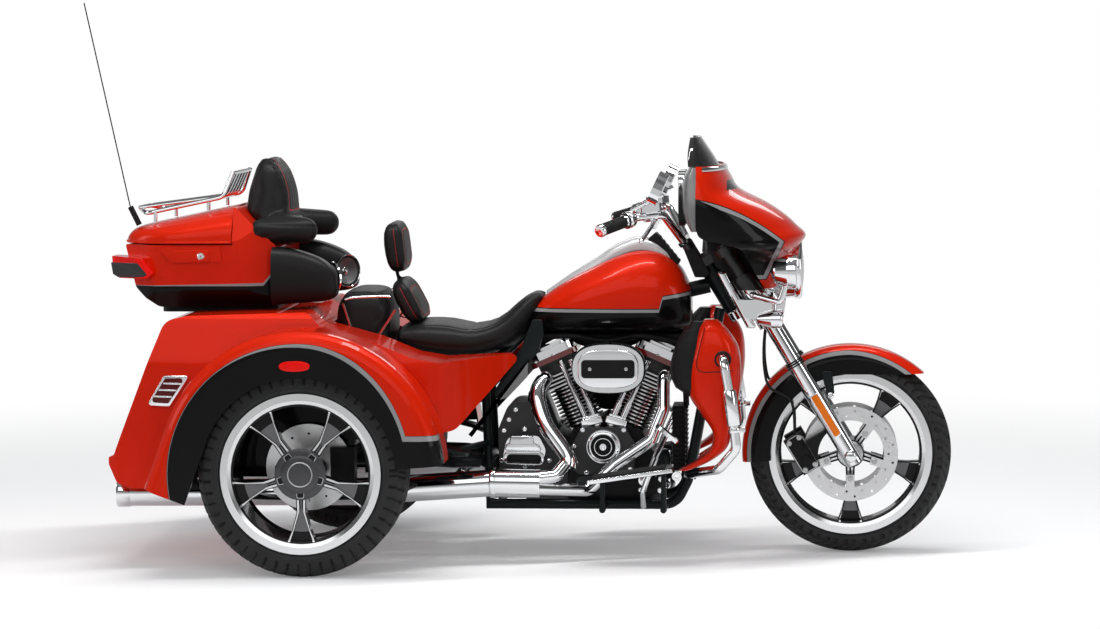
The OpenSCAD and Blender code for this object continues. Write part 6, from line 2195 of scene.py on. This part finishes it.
def make_lamps():
    ahead = Vector(AHEAD)
    shape = Shape()
    shape.revolve([(-22, 93.5), (-16, 95.5), (-6, 95), (0, 90), (1.5, 85), (-2, 82), (-6, 82)],
                  at(WHEELBASE - 149 - 4, 0, 901), ahead, 72)
    lamp_lens(shape, at(WHEELBASE - 149 - 6, 0, 901), ahead, 82.5, 9.5, 1)
    for side in (-1, 1):
        place = at(WHEELBASE - 168, side * 208, 905)
        shape.revolve([(-16, 53.6), (-10, 55.0), (-2, 53), (0.8, 48), (-2, 45.5), (-5, 45.5)], place, ahead,
                      56)
        lamp_lens(shape, place + Vector((-0.004, 0, 0)), ahead, 46, 6, 1)
        place = at(WHEELBASE - 212, side * 205, 755)
        shape.revolve([(-14, 27.5), (-9, 28.6), (-2, 27.4), (0.6, 24.6), (-2, 22.8), (-4, 22.8)], place,
                      ahead, 40)
        lamp_lens(shape, place + Vector((-0.003, 0, 0)), ahead, 23, 5, 2)
    shape.build("front_lenses", ["chrome", "lamp_glass", "amber_lens"], "steering", "chrome")
    rear = Shape()
    for side in (-1, 1):
        flip = -side
        right = (flip, 0, 0)
        outer = [(-496, 514), (-423, 510), (-358, 607), (-442, 606)]
        inner = [(-485, 523), (-428, 520), (-374, 600), (-438, 597)]
        y = side * 485.4
        for rows, depth, slot, bevel in ((outer, 15.0, 0, 3.0), (inner, 16.4, 1, 1.2)):
            rear.prism(rounded([(x * flip, z, 9) for x, z in rows], 4), at(0, y, 0), right, UP, depth,
                       bevel, slot)
        for k in range(3):
            z = 540 + k * 20
            rear.prism(rounded([((-474 + k * 15) * flip, z, 1), ((-418 + k * 15) * flip, z - 2, 1),
                                ((-415 + k * 15) * flip, z + 3, 1),
                                ((-471 + k * 15) * flip, z + 5, 1)], 2), at(0, y + side * 15.4, 0), right,
                       UP, 2.2, 0.6, 0)
        mark = at(-6, side * 696.2, 652)
        rear.prism([(x * flip, z) for x, z in oval(46.5, 15.6, 2.4, 48)], mark, right, UP, 2.0, 1.6, 2)
        lens = [(-640, 945), (-556, 941), (-526, 905), (-538, 898), (-618, 898), (-634, 908)]
        rear.prism(rounded([(x * flip, z, 3) for x, z in lens], 3), at(0, side * 296, 0), right, UP, 10.5,
                   1.0, 3)
    rear.build("rear_lenses", ["chrome", "dark_red_lens", "red_lens", "smoked_lens"], "chassis", "lens_red")


# Top case and bodywork


def make_case_trim():
    shape = Shape()
    shape.prism(rounded([(-443, 943, 4), (-328, 945, 4), (-328, 981, 4), (-443, 981, 4)], 3),
                at(0, -308.1, 0), AHEAD, UP, 3.6, 1.4)
    shape.revolve([(0, 11), (2.6, 11), (3.6, 9.6), (3.2, 5.5), (4.0, 5.0), (4.0, 0)], at(-354, -311.6, 963),
                  RIGHT, 32, slot=1)
    shape.revolve([(3.9, 2.2), (4.3, 2.0), (4.3, 0)], at(-354, -311.6, 963), RIGHT, 12, slot=2)
    shape.build("latch_cover", ["paint", "chrome", "black_plastic"], "chassis", "paint_red")


def make_grips():
    """Ribbed rubber with a bright band at each end."""
    bar = steer(-26, 0, 850)
    for side, name in ((-1, "right"), (1, "left")):
        a = bar + Vector((-141, side * 302, 84)) * MM
        b = bar + Vector((-240, side * 430, 50)) * MM
        d = (b - a).normalized()
        length = (b - a).length / MM + 6
        shape = Shape()
        rows = []
        x = 58.0
        while x < length - 14:
            rows += [(x, 17.6), (x + 0.6, 19.2), (x + 3.4, 19.2), (x + 4.0, 17.6)]
            x += 5.4
        shape.revolve([(58, 13.2), (58, 17.6)] + rows + [(length - 12, 17.6), (length - 12, 13.2)], a, d,
                      36)
        for start in (46.0, length - 13):
            shape.revolve([(start, 13.2), (start, 20), (start + 2, 20.8), (start + 9, 20.8),
                           (start + 12, 19.6), (start + 12, 13.2)], a, d, 36,
                          slot=1)
        shape.revolve([(length - 2, 19.6), (length + 2.4, 17), (length + 3.2, 10), (length + 3.2, 0)], a, d,
                      36, slot=1)
        shape.revolve([(20, 12.9), (20, 24.8), (22, 26), (44, 26), (46, 24.8), (46, 12.9)], a, d, 40,
                      slot=1)
        shape.build("grip_" + name, ["soft_rubber", "chrome"], "steering", "grip_rubber")


# Operators and panel


class Maker(bpy.types.Operator):
    """Runs its steps in order and stops the script where one fails."""

    bl_idname = "trike.maker"
    bl_label = "Make"
    steps = ()

    def execute(self, context):
        for step in self.steps:
            step()
        return {"FINISHED"}


class TRIKE_OT_stage(Maker):
    """Adds the camera, floor and lights."""

    bl_idname = "trike.stage"
    bl_label = "Stage"
    steps = (make_camera, make_floor, make_world, make_lights)


class TRIKE_OT_finishes(Maker):
    """Gives every CAD node its material."""

    bl_idname = "trike.finishes"
    bl_label = "Finishes"
    steps = (finish_nodes,)


class TRIKE_OT_tyres(Maker):
    """Replaces the plain tyres with treaded ones."""

    bl_idname = "trike.tyres"
    bl_label = "Tyres"
    steps = (make_tyres,)


class TRIKE_OT_shells(Maker):
    """Replaces the faceted shells with smooth ones, and adds speakers, fender mounts and brake hoses."""

    bl_idname = "trike.shells"
    bl_label = "Painted shells"
    steps = (make_fairing, make_dash, make_windshield, make_tank, make_lower_fairings, make_pods, make_lid,
             make_front_fender)


class TRIKE_OT_seats(Maker):
    """Makes the seat covers and backrests as swollen leather pads."""

    bl_idname = "trike.seats"
    bl_label = "Seats"
    steps = (make_rider_seat, make_rider_backrest, make_passenger_seat, make_passenger_backrest)


class TRIKE_OT_wheels(Maker):
    """Adds hub caps, rotor bolts, reflectors, caliper covers and fork seals."""

    bl_idname = "trike.wheels"
    bl_label = "Wheels and fork"
    steps = (make_hub_caps, make_front_hub, make_fork_trim)


class TRIKE_OT_engine(Maker):
    """Adds covers, bolts, pipe shields and dark fittings to the engine, and the foot controls' plates."""

    bl_idname = "trike.engine"
    bl_label = "Engine"
    steps = (make_engine_trim, make_exhaust_trim, make_engine_fill, make_control_plates, make_left_trim)


class TRIKE_OT_lamps(Maker):
    """Adds lenses and bright rims to the lamps."""

    bl_idname = "trike.lamps"
    bl_label = "Lamps"
    steps = (make_lamps,)


class TRIKE_OT_trim(Maker):
    """Adds the case's latch, the grips, the dashboard's dials, and trim on frame, fairings and seat."""

    bl_idname = "trike.trim"
    bl_label = "Trim"
    steps = (make_case_trim, make_grips, make_lower_trim, make_frame_trim, make_front_trim, make_seat_trim,
             make_dials)


OPERATORS = (TRIKE_OT_stage, TRIKE_OT_finishes, TRIKE_OT_tyres, TRIKE_OT_shells, TRIKE_OT_seats,
             TRIKE_OT_wheels,
             TRIKE_OT_engine, TRIKE_OT_lamps, TRIKE_OT_trim)


class TRIKE_PT_dressing(bpy.types.Panel):
    """Lists the trike's operators."""

    bl_idname = "TRIKE_PT_dressing"
    bl_label = "Trike"
    bl_space_type = "VIEW_3D"
    bl_region_type = "UI"
    bl_category = "Trike"

    def draw(self, context):
        for operator in OPERATORS:
            self.layout.operator(operator.bl_idname)
        for group in (context.scene.trike_colours, context.scene.trike_sizes):
            for name in group.__annotations__:
                self.layout.prop(group, name)


CLASSES = (TrikeColours, TrikeSizes) + OPERATORS + (TRIKE_PT_dressing,)


def register():
    for cls in CLASSES:
        bpy.utils.register_class(cls)
    bpy.types.Scene.trike_colours = PointerProperty(type=TrikeColours)
    bpy.types.Scene.trike_sizes = PointerProperty(type=TrikeSizes)


def unregister():
    del bpy.types.Scene.trike_sizes
    del bpy.types.Scene.trike_colours
    for cls in reversed(CLASSES):
        bpy.utils.unregister_class(cls)


def main():
    register()
    bpy.context.scene.view_settings.view_transform = "Standard"
    for operator in OPERATORS:
        group, action = operator.bl_idname.split(".")
        getattr(getattr(bpy.ops, group), action)()
    bpy.context.view_layer.update()


if __name__ == "__main__":
    main()
